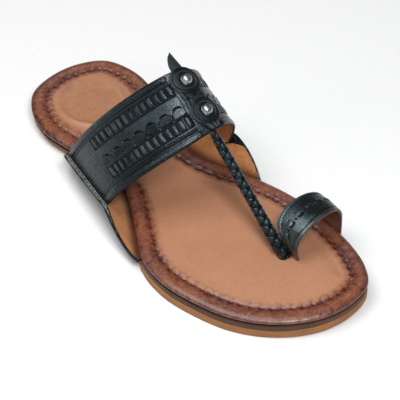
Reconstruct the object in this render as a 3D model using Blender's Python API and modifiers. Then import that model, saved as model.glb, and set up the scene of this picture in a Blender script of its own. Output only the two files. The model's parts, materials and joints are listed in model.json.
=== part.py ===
"""A right-foot leather sandal: a layered sole, a woven instep strap, a toe ring and a braid.

Metres, +Z up. The floor is z = 0, the toe points to -Y and the big-toe side is +X.
The origin lies on the floor under the middle of the heel's seat. A station is the
distance from the back of the heel towards the toe, and across is the distance along X.
"""
import math

import bmesh
import bpy
import numpy as np
from mathutils import Vector

# Sizes of the sole
FOOTBED_LENGTH = 0.272
BALL_WIDTH = 0.1063
HEEL_SEAT = 0.040
OUTSOLE_THICKNESS = 0.0055
MIDSOLE_THICKNESS = 0.0034
MIDSOLE_SET_BACK = 0.0004
SLOT_HEIGHT = 0.0022
RIM_THICKNESS = 0.0026
RIM_OVERHANG = 0.0070
RIM_BAND = 0.0150
PADDING = 0.0009
OUTSOLE_CHAMFER = 0.0010
MIDSOLE_ROUNDING = 0.0006
HEEL_TUCK = 0.0050
ARCH_LIFT = 0.0012
TOE_SPRING = 0.0015
GAP = 0.0003
HALF_STEPS = 38

# Where the sole changes shape along its length: (start, end) as shares of FOOTBED_LENGTH
HEEL_TUCK_SPAN = (0.28, 0.55)
ARCH_SPAN = (0.31, 0.52)
TOE_SPRING_SPAN = (0.86, 1.00)

# The footbed's side and top: inset as a share of RIM_BAND, and height as a share of the rim's
# thickness up to the rim's top and of PADDING above it
RIM_SIDE = [(0.047, 0.00), (0.000, 0.31), (0.000, 0.65), (0.060, 1.00)]
RIM_TOP = [(0.28, 0.9), (0.53, 0.4), (0.65, -0.3), (0.77, 0.4), (1.00, 1.0)]

# Sizes of the strap
CROWN_FRONT_HEIGHT = 0.0733
CROWN_REAR_HEIGHT = 0.0970
CROWN_FRONT_STATION = 0.1559
CROWN_REAR_STATION = 0.1216
CROWN_ACROSS = 0.0015
STRAP_TILT = math.radians(20.4)
STRAP_WALL = 0.0020
STRAP_TUCK = 0.0080
RELIEF_FADE = 0.0060
PLAIN_MEDIAL = 0.0110
PLAIN_LATERAL = 0.0180
BLOCK_PITCH = 0.00467
BLOCK_SLIT = 0.0009
BLOCK_BEVEL = 0.0006
BLOCK_RAISE = 0.0007
LOBE_RAISE = 0.0004
BORDER_RAISE = 0.0006

# Sizes of the ears
EAR_WALL = 0.0016
EAR_ROOT = 0.0050
EAR_STANDOFF = 0.0012
EAR_NIP = 0.0012
EAR_LEAD = 0.0060

# Sizes of the tab, its horn, the rosettes and the rivets
TAB_WALL = 0.0012
TAB_HALF_WIDTH = 0.0088
TAB_SHIFT = 0.0027
HORN_LENGTH = 0.0124
HORN_LEAN = 0.0045
HORN_RISE = 0.0030
HORN_CURL = math.radians(108.0)
ROSETTE_RADIUS = 0.0084
ROSETTE_WALL = 0.0011
ROSETTE_RIDGE = 0.0004
RIVET_RADIUS = 0.0033
RIVET_HEIGHT = 0.0018
RIVET_COLLAR = 0.25

# Sizes of the toe ring and the braid
RING_STATION = 0.2185
RING_BAND = 0.0200
RING_HEIGHT = 0.0415
RING_WALL = 0.0016
RING_ROOT = 0.0040
RING_CROWNING = 0.0007
RING_COLUMNS = (0.33, 0.67)
RING_FLAT_STEPS = 5
BRAID_RADIUS = 0.0036
BRAID_PLAIT = 0.0005
BRAID_REPEAT = 0.0105
BRAID_FOOT_STATION = 0.2195
BRAID_FOOT_ACROSS = -0.0030
BRAID_KNEE_BACK = 0.0030
BRAID_KNEE_HEIGHT = 0.0050
BRAID_TAPER = 0.28
BRAID_TAPER_LENGTH = 0.0100
BRAID_SEAT = 0.7
BRAID_FACING = Vector((0.0, 1.0, 0.3))

# The footbed's edge, as (along, across) shares of FOOTBED_LENGTH and BALL_WIDTH
HEEL_BACK = (0.000, 0.052)
LATERAL_EDGE = [
    (0.018, -0.139), (0.062, -0.240), (0.135, -0.308), (0.212, -0.299), (0.309, -0.266),
    (0.406, -0.291), (0.474, -0.390), (0.536, -0.497), (0.592, -0.588), (0.665, -0.627),
    (0.762, -0.599), (0.844, -0.532), (0.909, -0.425), (0.961, -0.282), (0.987, -0.161),
]
TOE_TIP = (1.000, 0.000)
MEDIAL_EDGE = [
    (0.986, 0.180), (0.945, 0.268), (0.891, 0.324), (0.828, 0.357), (0.761, 0.374),
    (0.694, 0.371), (0.630, 0.345), (0.565, 0.301), (0.513, 0.252), (0.449, 0.215),
    (0.397, 0.213), (0.316, 0.267), (0.250, 0.362), (0.189, 0.431), (0.117, 0.446),
    (0.050, 0.389), (0.016, 0.264),
]

# Each edge of the strap: spans, skew and bow as shares of BALL_WIDTH, drop of the crown's height
STRAP_EDGES = {
    "rear": {"lateral_span": 0.397, "medial_span": 0.428, "drop": 0.911, "skew": 0.226, "bow": -0.710},
    "front": {"lateral_span": 0.540, "medial_span": 0.340, "drop": 0.734, "skew": 0.052, "bow": -0.370},
}
ROUNDNESS = {"lateral": 1.7, "medial": 1.8}

# Columns of the strap from rear to front: (share of the width, raise as a share of BORDER_RAISE)
STRAP_COLUMNS = [
    (0.000, 0.0), (0.020, 1.0), (0.075, 1.0), (0.100, 0.0), (0.122, 0.6), (0.145, 0.0),
    (0.305, 0.0), (0.470, 0.0), (0.620, 0.0), (0.645, 0.0), (0.800, 0.0), (0.835, 0.6),
    (0.862, 0.0), (0.895, 1.0), (0.975, 1.0), (1.000, 0.0),
]
BLOCK_COLUMNS = (5, 9)
LOBE_COLUMN = 7
LINING_COLUMNS = (0, 7, 15)

# The ears' free ends: stations as shares of FOOTBED_LENGTH, across of BALL_WIDTH, height of the
# crown. The lip stands past the seam, and the clearance lies between the ear and the strap's end.
EARS = {
    "lateral": {
        "side": -1, "rear": 0.222, "front": 0.588, "bend": (0.522, -0.560, 0.100),
        "lip": 0.0030, "clearance": 0.0008,
    },
    "medial": {
        "side": 1, "rear": 0.258, "front": 0.600, "bend": (0.545, 0.425, 0.260),
        "lip": 0.0058, "clearance": 0.0011,
    },
}
EAR_REAR_ROWS = 4
EAR_FRONT_ROWS = 9

# The tab from the strap's rear edge to its front: (share of the strap's width, half width)
TAB_ROWS = [
    (0.010, 0.46), (0.060, 0.72), (0.115, 0.94), (0.170, 1.00), (0.240, 0.97), (0.330, 0.86),
    (0.430, 0.76), (0.530, 0.84), (0.620, 0.97), (0.700, 1.00), (0.780, 0.93), (0.860, 0.72),
    (0.930, 0.52), (0.985, 0.42),
]
TAB_COLUMNS = (-1.0, -0.66, -0.33, 0.0, 0.33, 0.66, 1.0)
TAB_CROSSINGS = (-0.6, -0.2, 0.2, 0.6)
HORN_ROWS = [(0.30, 0.36), (0.62, 0.22), (0.86, 0.11), (1.00, 0.03)]
ROSETTES = {"rear": 0.183, "front": 0.705}
ROSETTE_PROFILE = [(0.40, 0.0), (0.50, 1.0), (0.62, 0.0), (0.74, 0.0), (0.84, 1.0), (0.95, 0.6), (1.00, -0.6)]
ROSETTE_BACK = (0.3, 0.7, 1.0)

# The toe ring from the lateral foot to the medial leg: across as a share of the leg's place,
# height between the footbed and the crown, and both edges' stations in bands from the middle
RING_ROWS = [
    (0.022, 0.030, 0.00, 0.49, 0.20),
    (-0.025, -0.018, 0.26, 0.50, 0.10),
    (-0.030, -0.045, 0.52, 0.50, -0.08),
    (0.050, 0.020, 0.76, 0.50, -0.38),
    (0.230, 0.205, 0.93, 0.52, -0.50),
    (0.465, 0.440, 1.00, 0.54, -0.50),
    (0.680, 0.660, 0.97, 0.55, -0.44),
    (0.860, 0.845, 0.83, 0.54, -0.36),
    (0.960, 0.950, 0.58, 0.52, -0.30),
    (0.995, 0.995, 0.26, 0.50, -0.28),
    (1.000, 1.000, 0.00, 0.50, -0.28),
]
RING_STEPS = 26
BRAID_SIDES = 12
BRAID_STEPS = 44

SLOT_FLOOR = OUTSOLE_THICKNESS + GAP + MIDSOLE_THICKNESS
SLOT_MIDDLE = SLOT_FLOOR + SLOT_HEIGHT / 2
FOOTBED_EDGE = SLOT_FLOOR + SLOT_HEIGHT + RIM_THICKNESS
FOOTBED_TOP = FOOTBED_EDGE + PADDING


def clear_scene():
    for thing in list(bpy.data.objects):
        bpy.data.objects.remove(thing, do_unlink=True)


def make_material(name, colour, roughness, metallic=0.0):
    material = bpy.data.materials.new(name)
    material.use_nodes = True
    shader = material.node_tree.nodes["Principled BSDF"]
    shader.inputs["Base Color"].default_value = (*colour, 1.0)
    shader.inputs["Roughness"].default_value = roughness
    shader.inputs["Metallic"].default_value = metallic
    return material


def place(across, station, height):
    return Vector((across, HEEL_SEAT - station, height))


def ease(value):
    value = min(max(value, 0.0), 1.0)
    return value * value * (3.0 - 2.0 * value)


def smooth(points, closed=False, steps=16):
    """Pass a smooth curve through the points and return it as a fine chain of points."""
    knots = np.array([tuple(point) for point in points], dtype=float)
    if closed:
        knots = np.vstack([knots[-1:], knots, knots[:2]])
    else:
        knots = np.vstack([2 * knots[0] - knots[1], knots, 2 * knots[-1] - knots[-2]])
    chords = np.linalg.norm(np.diff(knots, axis=0), axis=1)[:, None]
    slopes = np.diff(knots, axis=0) / chords
    tangents = (slopes[:-1] * chords[1:] + slopes[1:] * chords[:-1]) / (chords[:-1] + chords[1:])
    chain = []
    for index in range(1, len(knots) - 2):
        start, end, chord = knots[index], knots[index + 1], chords[index]
        for step in range(steps):
            t = step / steps
            chain.append(
                (1 + 2 * t) * (1 - t) ** 2 * start + t * (1 - t) ** 2 * chord * tangents[index - 1]
                + t * t * (3 - 2 * t) * end + t * t * (t - 1) * chord * tangents[index]
            )
    chain.append(knots[-2])
    return np.array(chain)


def even(chain, count):
    """Return count points at even distances along a chain."""
    lengths = np.concatenate([[0.0], np.cumsum(np.linalg.norm(np.diff(chain, axis=0), axis=1))])
    wanted = np.linspace(0.0, lengths[-1], count)
    return np.column_stack([np.interp(wanted, lengths, chain[:, axis]) for axis in range(chain.shape[1])])


def footbed_edge():
    """Return the lateral and medial halves of the footbed's edge, each from heel to toe."""
    shares = [HEEL_BACK] + LATERAL_EDGE + [TOE_TIP] + MEDIAL_EDGE
    points = [(across * BALL_WIDTH, along * FOOTBED_LENGTH) for along, across in shares]
    steps = 16
    chain = smooth(points, closed=True, steps=steps)
    toe = (len(LATERAL_EDGE) + 1) * steps
    return even(chain[:toe + 1], HALF_STEPS + 1), even(chain[toe:][::-1], HALF_STEPS + 1)


LATERAL_HALF, MEDIAL_HALF = footbed_edge()
OUTLINE = np.vstack([LATERAL_HALF, MEDIAL_HALF[-2:0:-1]])


def outline_normals():
    """Return the outward direction at each point of the outline."""
    along = np.roll(OUTLINE, -1, axis=0) - np.roll(OUTLINE, 1, axis=0)
    outward = np.column_stack([-along[:, 1], along[:, 0]])
    return outward / np.linalg.norm(outward, axis=1)[:, None]


OUTWARD = outline_normals()


def edge_at(side, station):
    """Return the point of the footbed's edge at a station, and its outward direction."""
    half = LATERAL_HALF if side < 0 else MEDIAL_HALF
    across = np.interp(station, half[:, 1], half[:, 0])
    reach = 0.004
    ahead = np.interp(station + reach, half[:, 1], half[:, 0])
    behind = np.interp(station - reach, half[:, 1], half[:, 0])
    outward = Vector((2 * reach, (ahead - behind), 0.0)).normalized() * side
    return place(across, station, SLOT_MIDDLE), outward


def share_between(station, span):
    """How far a station lies between two shares of the footbed's length, held to 0 and 1."""
    share = (station / FOOTBED_LENGTH - span[0]) / (span[1] - span[0])
    return min(max(share, 0.0), 1.0)


def heel_tuck(station):
    """How far the floor end of the sole's side stands in, full at the heel and none at the ball."""
    return HEEL_TUCK * (1.0 - ease(share_between(station, HEEL_TUCK_SPAN)))


def toe_spring(station):
    return TOE_SPRING * share_between(station, TOE_SPRING_SPAN) ** 2


def arch_lift(station):
    return ARCH_LIFT * math.sin(math.pi * share_between(station, ARCH_SPAN)) ** 2


def link(name, mesh, material, collection):
    thing = bpy.data.objects.new(name, mesh)
    mesh.materials.append(material)
    collection.objects.link(thing)
    return thing


def finish_mesh(name, work, sharp=30.0):
    """Turn a bmesh into a mesh with outward faces, shaded smooth but for its sharp edges."""
    bmesh.ops.recalc_face_normals(work, faces=work.faces)
    mesh = bpy.data.meshes.new(name)
    work.to_mesh(mesh)
    work.free()
    mesh.shade_smooth()
    mesh.set_sharp_from_angle(angle=math.radians(sharp))
    return mesh


def loft_rings(work, rings):
    """Join closed rings of equal count and close both ends from side to side."""
    verts = [[work.verts.new(point) for point in ring] for ring in rings]
    count = len(verts[0])
    for lower, upper in zip(verts, verts[1:]):
        for index in range(count):
            after = (index + 1) % count
            work.faces.new((lower[index], lower[after], upper[after], upper[index]))
    for ring in (verts[0], verts[-1]):
        for index in range(count // 2):
            corners = [ring[index], ring[index + 1], ring[count - index - 1], ring[-index]]
            work.faces.new(list(dict.fromkeys(corners)))


def sole_layer(name, profile, material, collection, shaped_floor=False):
    """A layer with the outline of the foot: profile rows are (inset, height) from the bottom up."""
    work = bmesh.new()
    rings = []
    for row, (inset, height) in enumerate(profile):
        ring = []
        for (across, station), (out_x, out_s) in zip(OUTLINE, OUTWARD):
            back = inset + heel_tuck(station) * max(0.0, 1.0 - height / SLOT_FLOOR)
            lift = toe_spring(station)
            if shaped_floor and row == 0:
                lift += arch_lift(station)
            ring.append(place(across - out_x * back, station - out_s * back, height + lift))
        rings.append(ring)
    loft_rings(work, rings)
    return link(name, finish_mesh(name, work), material, collection)


def make_outsole(material, collection):
    top = OUTSOLE_THICKNESS
    chamfer = OUTSOLE_CHAMFER
    profile = [(chamfer, 0.0), (0.0, chamfer), (0.0, top - chamfer / 2), (chamfer / 2, top)]
    return sole_layer("outsole", profile, material, collection, shaped_floor=True)


def make_midsole(material, collection):
    bottom = OUTSOLE_THICKNESS + GAP
    back = MIDSOLE_SET_BACK
    profile = [
        (back, bottom), (back, SLOT_FLOOR - MIDSOLE_ROUNDING), (back + MIDSOLE_ROUNDING, SLOT_FLOOR),
    ]
    return sole_layer("midsole", profile, material, collection)


def make_footbed(material, collection):
    """The padded insole: its rim overhangs the slot, and a stitched groove runs inside the rim."""
    under = SLOT_FLOOR + SLOT_HEIGHT
    profile = [(RIM_OVERHANG, SLOT_FLOOR + GAP), (RIM_OVERHANG, under)]
    profile += [(inset * RIM_BAND, under + rise * RIM_THICKNESS) for inset, rise in RIM_SIDE]
    profile += [(inset * RIM_BAND, FOOTBED_EDGE + rise * PADDING) for inset, rise in RIM_TOP]
    return sole_layer("footbed", profile, material, collection)


def strap_edge_point(edge, angle):
    """A point of the strap's front or rear edge: angle 0 is the medial end and pi the lateral end."""
    shape = STRAP_EDGES[edge]
    height = CROWN_REAR_HEIGHT if edge == "rear" else CROWN_FRONT_HEIGHT
    station = CROWN_REAR_STATION if edge == "rear" else CROWN_FRONT_STATION
    side = "medial" if math.cos(angle) > 0.0 else "lateral"
    power = 2.0 / ROUNDNESS[side]
    span = shape[side + "_span"] * BALL_WIDTH
    offset = math.copysign(span * abs(math.cos(angle)) ** power, math.cos(angle))
    fall = shape["drop"] * height * (abs(math.sin(angle)) ** power - 1.0)
    share = offset / BALL_WIDTH
    slide = BALL_WIDTH * (shape["skew"] * share + shape["bow"] * share * share)
    return place(
        CROWN_ACROSS + offset,
        station + slide * math.cos(STRAP_TILT) + fall * math.sin(STRAP_TILT),
        height - slide * math.sin(STRAP_TILT) + fall * math.cos(STRAP_TILT),
    )


def strap_point(angle, share):
    return strap_edge_point("rear", angle).lerp(strap_edge_point("front", angle), share)


ANGLES = np.linspace(0.0, math.pi, 721)
MIDDLE_LINE = np.array([tuple(strap_point(angle, 0.5)) for angle in ANGLES])
ARCS = np.concatenate([[0.0], np.cumsum(np.linalg.norm(np.diff(MIDDLE_LINE, axis=0), axis=1))])
CROWN_ARC = float(np.interp(math.pi / 2, ANGLES, ARCS))
TAB_ARC = CROWN_ARC - TAB_SHIFT
CROWN_WIDTH = (strap_point(math.pi / 2, 1.0) - strap_point(math.pi / 2, 0.0)).length


def on_strap(arc, share, lift=0.0):
    """A point over the strap's outer face: arc is measured along its middle from the medial end."""
    angle = float(np.interp(arc, ARCS, ANGLES))
    if lift == 0.0:
        return strap_point(angle, share)
    reach = 0.0010
    before = strap_point(float(np.interp(arc - reach, ARCS, ANGLES)), share)
    after = strap_point(float(np.interp(arc + reach, ARCS, ANGLES)), share)
    width = strap_edge_point("front", angle) - strap_edge_point("rear", angle)
    return strap_point(angle, share) + (after - before).cross(width).normalized() * lift


def ear_section(name, foot):
    """The ear where the strap's end meets it: its free edge and its slope up from the slot."""
    shape = EARS[name]
    edge, outward = edge_at(shape["side"], HEEL_SEAT - foot.y)
    exit_point = edge + outward * EAR_STANDOFF
    slope = (foot - exit_point).normalized()
    inner = slope.cross(outward.cross(Vector((0.0, 0.0, 1.0))))
    inner = inner.normalized() * math.copysign(1.0, inner.z)
    free = foot - inner * (EAR_WALL / 2 + shape["clearance"]) + slope * shape["lip"]
    return free, (free - exit_point).normalized()


def bend(points, share):
    """A point on the Bezier curve with these control points."""
    while len(points) > 1:
        points = [first.lerp(second, share) for first, second in zip(points, points[1:])]
    return points[0]


def ear_edge(name):
    """The ear's free edge from rear to front, as (station where that row leaves the slot, point)."""
    shape = EARS[name]
    side = shape["side"]
    end_angle = math.pi if side < 0 else 0.0
    nip = EAR_STANDOFF + EAR_NIP
    feet = [strap_point(end_angle, share) for share, raise_share in STRAP_COLUMNS]
    seam = [ear_section(name, foot)[0] for foot in feet]
    start, outward = edge_at(side, shape["rear"] * FOOTBED_LENGTH)
    start = start + outward * nip
    rear_curve = [start, start.lerp(seam[0], 0.5) + outward * nip, seam[0]]
    end, outward = edge_at(side, shape["front"] * FOOTBED_LENGTH)
    end = end + outward * nip
    along, across, height = shape["bend"]
    lead = seam[-1] + (seam[-1] - seam[-3]).normalized() * EAR_LEAD
    control = place(across * BALL_WIDTH, along * FOOTBED_LENGTH, height * CROWN_FRONT_HEIGHT)
    front_curve = [seam[-1], lead, control, end]
    rows = []
    slip = seam[0].y - feet[0].y
    for step in range(EAR_REAR_ROWS):
        point = bend(rear_curve, step / EAR_REAR_ROWS)
        rows.append((HEEL_SEAT - point.y + slip * step / EAR_REAR_ROWS, point))
    rows += [(HEEL_SEAT - foot.y, point) for foot, point in zip(feet, seam)]
    slip = seam[-1].y - feet[-1].y
    for step in range(EAR_FRONT_ROWS):
        point = bend(front_curve, (step + 1) / EAR_FRONT_ROWS)
        rows.append((HEEL_SEAT - point.y + slip * (1 - (step + 1) / EAR_FRONT_ROWS), point))
    return rows


def make_ear(name, material, collection):
    """A flap from the slot out to its free edge, as an open surface with a wall."""
    side = EARS[name]["side"]
    rows = []
    for station, free in ear_edge(name):
        free.z = max(free.z, SLOT_MIDDLE)
        edge, outward = edge_at(side, station)
        exit_point = edge + outward * EAR_STANDOFF
        rows.append([edge - outward * EAR_ROOT, exit_point, exit_point.lerp(free, 0.5), free])
    return shell_from_rows("ear_" + name, rows, EAR_WALL, material, collection, offset=0.0)


def strap_rows():
    """Rows of the strap between its ends, as (arc, starts a block) from the medial end."""
    total = float(ARCS[-1])
    half_tab = TAB_HALF_WIDTH + GAP
    medial_count = int((TAB_ARC - half_tab - PLAIN_MEDIAL) / BLOCK_PITCH) // 2 * 2
    lateral_count = int((total - TAB_ARC - half_tab - PLAIN_LATERAL) / BLOCK_PITCH) // 2 * 2
    first = TAB_ARC - half_tab - medial_count * BLOCK_PITCH
    rows = [(first * step / 3, False) for step in range(3)]
    for index in range(medial_count):
        start = first + index * BLOCK_PITCH
        rows += [(start + BLOCK_SLIT, True), (start + BLOCK_PITCH, False)]
    rows += [(TAB_ARC + half_tab * share, False) for share in TAB_CROSSINGS]
    for index in range(lateral_count):
        start = TAB_ARC + half_tab + index * BLOCK_PITCH
        rows += [(start, True), (start + BLOCK_PITCH - BLOCK_SLIT, False)]
    last = TAB_ARC + half_tab + lateral_count * BLOCK_PITCH
    rows += [(last + (total - last) * step / 4, False) for step in range(5)]
    return rows


def tuck_point(name, foot, distance):
    """A point of the strap's outer face below its seam, lying along that ear's inner face."""
    return foot - ear_section(name, foot)[1] * distance


def strap_surface(rows):
    """The strap's outer face: both tucked ends and the rows between them."""
    shares = [share for share, raise_share in STRAP_COLUMNS]
    grid = []
    for distance in (STRAP_TUCK, STRAP_TUCK / 2):
        grid.append([tuck_point("medial", strap_point(0.0, share), distance) for share in shares])
    for arc, starts_block in rows:
        grid.append([on_strap(arc, share) for share in shares])
    for distance in (STRAP_TUCK / 2, STRAP_TUCK):
        grid.append([tuck_point("lateral", strap_point(math.pi, share), distance) for share in shares])
    return grid


def raise_scale(arc):
    """Relief is full over the strap and fades out at the tab and at both sewn ends."""
    from_end = min(arc, float(ARCS[-1]) - arc)
    from_tab = abs(arc - TAB_ARC) - TAB_HALF_WIDTH
    return ease(from_end / RELIEF_FADE - 1 / 3) * ease(from_tab / (GAP * 4))


def make_strap(material, collection):
    """One hollow wall: raised borders, two rows of woven blocks and a row of lobes between them."""
    rows = strap_rows()
    grid = strap_surface(rows)
    work = bmesh.new()
    outer = [[work.verts.new(point) for point in line] for line in grid]
    faces = {}
    for row, (first, second) in enumerate(zip(outer, outer[1:])):
        for column in range(len(STRAP_COLUMNS) - 1):
            corners = (first[column], second[column], second[column + 1], first[column + 1])
            faces[row, column] = work.faces.new(corners)
    work.normal_update()
    inner = []
    for line in outer:
        spots = [line[column] for column in LINING_COLUMNS]
        inner.append([work.verts.new(v.co - v.normal * STRAP_WALL * v.calc_shell_factor()) for v in spots])
    for line, (arc, starts_block) in zip(outer[2:-2], rows):
        for vert, (share, raise_share) in zip(line, STRAP_COLUMNS):
            vert.co += vert.normal * (raise_share * BORDER_RAISE * raise_scale(arc))
    for row in range(len(outer) - 1):
        for column in range(len(LINING_COLUMNS) - 1):
            first, second = inner[row], inner[row + 1]
            work.faces.new((first[column], first[column + 1], second[column + 1], second[column]))
        for side in (0, -1):
            corners = (outer[row][side], outer[row + 1][side], inner[row + 1][side], inner[row][side])
            work.faces.new(corners)
    for row in (0, -1):
        work.faces.new(outer[row] + inner[row][::-1])
    bmesh.ops.recalc_face_normals(work, faces=work.faces)
    weave_blocks(work, faces, rows)
    return link("instep_strap", finish_mesh("instep_strap", work), material, collection)


def weave_blocks(work, faces, rows):
    """Raise the woven blocks one by one, and a lobe across each pair of them."""
    starts = [row for row, (arc, starts_block) in enumerate(rows) if starts_block]
    blocks = [faces[row + 2, column] for row in starts for column in BLOCK_COLUMNS]
    bmesh.ops.inset_individual(work, faces=blocks, thickness=BLOCK_BEVEL, depth=BLOCK_RAISE)
    for first, second in zip(starts[::2], starts[1::2]):
        lobe = [faces[row + 2, LOBE_COLUMN] for row in range(first, second + 1)]
        bmesh.ops.inset_region(work, faces=lobe, thickness=BLOCK_BEVEL, depth=LOBE_RAISE)


def shell_from_rows(name, rows, wall, material, collection, offset=-1.0):
    """An open surface through rows of points, with a wall of even thickness."""
    work = bmesh.new()
    verts = [[work.verts.new(point) for point in row] for row in rows]
    for first, second in zip(verts, verts[1:]):
        for column in range(len(first) - 1):
            work.faces.new((first[column], second[column], second[column + 1], first[column + 1]))
    mesh = bpy.data.meshes.new(name)
    work.to_mesh(mesh)
    work.free()
    mesh.shade_smooth()
    mesh.set_sharp_from_angle(angle=math.radians(35.0))
    thing = link(name, mesh, material, collection)
    solid = thing.modifiers.new("wall", "SOLIDIFY")
    solid.thickness = wall
    solid.offset = offset
    solid.use_even_offset = True
    return thing


def make_tab(material, collection):
    """The strip over the strap's crown, from the tip of its horn to the braid."""
    lift = GAP + TAB_WALL
    rows = []
    for share, half in TAB_ROWS:
        half_width = half * TAB_HALF_WIDTH
        rows.append([on_strap(TAB_ARC - column * half_width, share, lift) for column in TAB_COLUMNS])
    base = rows[0]
    middle = base[len(base) // 2]
    backward = (middle - rows[1][len(base) // 2]).normalized()
    backward = Vector((0.0, backward.y, 0.0)).normalized()
    for reach, half in HORN_ROWS:
        lean = HORN_LEAN * reach ** 2
        rise = HORN_RISE * math.sin(HORN_CURL * reach)
        centre = middle + backward * HORN_LENGTH * reach + Vector((lean, 0.0, rise))
        narrow = half / TAB_ROWS[0][1]
        rows.insert(0, [centre + (point - middle) * narrow for point in base])
    return shell_from_rows("crown_tab", rows, TAB_WALL, material, collection)


def make_rosette(name, share, material, collection):
    """A round leather washer that follows the tab, with two ring-shaped ridges."""
    lift = GAP + TAB_WALL + GAP
    work = bmesh.new()
    segments = 20

    def ring(radius, height):
        points = []
        for index in range(segments):
            turn = 2 * math.pi * index / segments
            arc = TAB_ARC + radius * math.cos(turn)
            points.append(on_strap(arc, share + radius * math.sin(turn) / CROWN_WIDTH, height))
        return points

    rings = [ring(ROSETTE_RADIUS * radius, lift) for radius in ROSETTE_BACK]
    for radius, ridge in reversed(ROSETTE_PROFILE):
        rings.append(ring(ROSETTE_RADIUS * radius, lift + ROSETTE_WALL + ridge * ROSETTE_RIDGE))
    loft_rings(work, rings)
    return link(name, finish_mesh(name, work, 50.0), material, collection)


def make_rivet(name, share, material, collection):
    """A turned dome on a low collar, on the rosette's flat middle."""
    profile = [(0.0, RIVET_HEIGHT)]
    for step in range(1, 5):
        turn = math.pi / 2 * step / 4
        height = RIVET_COLLAR + (1.0 - RIVET_COLLAR) * math.cos(turn)
        profile.append((RIVET_RADIUS * math.sin(turn), RIVET_HEIGHT * height))
    profile += [(RIVET_RADIUS, 0.0), (0.0, 0.0)]
    mesh = bpy.data.meshes.new(name)
    edges = [(index, index + 1) for index in range(len(profile) - 1)]
    mesh.from_pydata([(radius, 0.0, height) for radius, height in profile], edges, [])
    thing = link(name, mesh, material, collection)
    seat = on_strap(TAB_ARC, share, GAP + TAB_WALL + GAP + ROSETTE_WALL + GAP)
    normal = (seat - on_strap(TAB_ARC, share)).normalized()
    thing.location = seat
    thing.rotation_euler = normal.to_track_quat("Z", "Y").to_euler()
    turned = thing.modifiers.new("turned", "SCREW")
    turned.steps = 16
    turned.render_steps = 16
    turned.use_merge_vertices = True
    turned.merge_threshold = 0.00001
    return thing


def ring_leg(station):
    """Where the ring's medial leg stands, just outside the footbed's edge."""
    edge, outward = edge_at(1, station)
    return edge.x + GAP + RING_WALL


def make_ring(material, collection):
    """The big toe's loop: a narrow foot by the braid, a wide crown and a leg tucked into the slot."""
    foot_height = FOOTBED_TOP + GAP
    lines = []
    for side in (0, 1):
        line = []
        for row in RING_ROWS:
            station = RING_STATION + RING_BAND * row[3 + side]
            height = foot_height + (RING_HEIGHT - foot_height) * row[2]
            line.append(place(row[side] * ring_leg(station), station, height))
        lines.append(even(smooth(line), RING_STEPS))
    rows = [[Vector(front), Vector(rear)] for front, rear in zip(*lines)]
    for inset in (0.0, RING_WALL + RING_ROOT):
        corner = []
        for point in (rows[RING_STEPS - 1][0], rows[RING_STEPS - 1][1]):
            station = HEEL_SEAT - point.y
            corner.append(place(ring_leg(station) - inset, station, SLOT_FLOOR + GAP))
        rows.append(corner)
    grid = []
    for index, (front, rear) in enumerate(rows):
        crowned = RING_CROWNING * ease(min(index, RING_STEPS - 1 - index) / RING_FLAT_STEPS)
        inward = Vector((ring_leg(RING_STATION) / 2, front.y, RING_HEIGHT / 2)) - front.lerp(rear, 0.5)
        inward.y = 0.0
        outward = -inward.normalized() * crowned
        grid.append([front] + [front.lerp(rear, share) + outward for share in RING_COLUMNS] + [rear])
    return shell_from_rows("toe_ring", grid, RING_WALL, material, collection)


def make_braid(material, collection):
    """The plaited cord, one wall with its strands raised, from the strap's front edge to the foot."""
    crown = strap_point(math.pi / 2, 1.0)
    along = (crown - strap_point(math.pi / 2, 0.0)).normalized()
    under = along.cross(Vector((1.0, 0.0, 0.0))).normalized()
    under = under * -math.copysign(1.0, under.z)
    start = crown + along * (GAP * 3) + under * (STRAP_WALL * BRAID_SEAT)
    foot = place(BRAID_FOOT_ACROSS, BRAID_FOOT_STATION, FOOTBED_TOP + GAP)
    knee = foot + Vector((0.0, BRAID_KNEE_BACK, BRAID_KNEE_HEIGHT))
    path = even(smooth([start, start.lerp(knee, 1 / 3), start.lerp(knee, 2 / 3), knee, foot]), BRAID_STEPS)
    length = float(np.linalg.norm(np.diff(path, axis=0), axis=1).sum())
    work = bmesh.new()
    rings = []
    for step, centre in enumerate(path):
        ahead = path[min(step + 1, BRAID_STEPS - 1)] - path[max(step - 1, 0)]
        ahead = Vector(ahead).normalized()
        if step == BRAID_STEPS - 1:
            ahead = Vector((0.0, 0.0, -1.0))
        sideways = ahead.cross(BRAID_FACING).normalized()
        upward = sideways.cross(ahead).normalized()
        distance = length * step / (BRAID_STEPS - 1)
        taper = 1.0 - BRAID_TAPER * (1.0 - ease(distance / BRAID_TAPER_LENGTH))
        phase = 2 * math.pi * distance / BRAID_REPEAT
        ring = []
        for index in range(BRAID_SIDES):
            turn = 2 * math.pi * index / BRAID_SIDES
            strand = max(math.cos(2 * turn + phase), math.cos(2 * turn - phase))
            radius = (BRAID_RADIUS - BRAID_PLAIT * (1.0 - strand)) * taper
            ring.append(Vector(centre) + (sideways * math.cos(turn) + upward * math.sin(turn)) * radius)
        rings.append(ring)
    loft_rings(work, rings)
    return link("toe_braid", finish_mesh("toe_braid", work, 60.0), material, collection)


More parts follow.
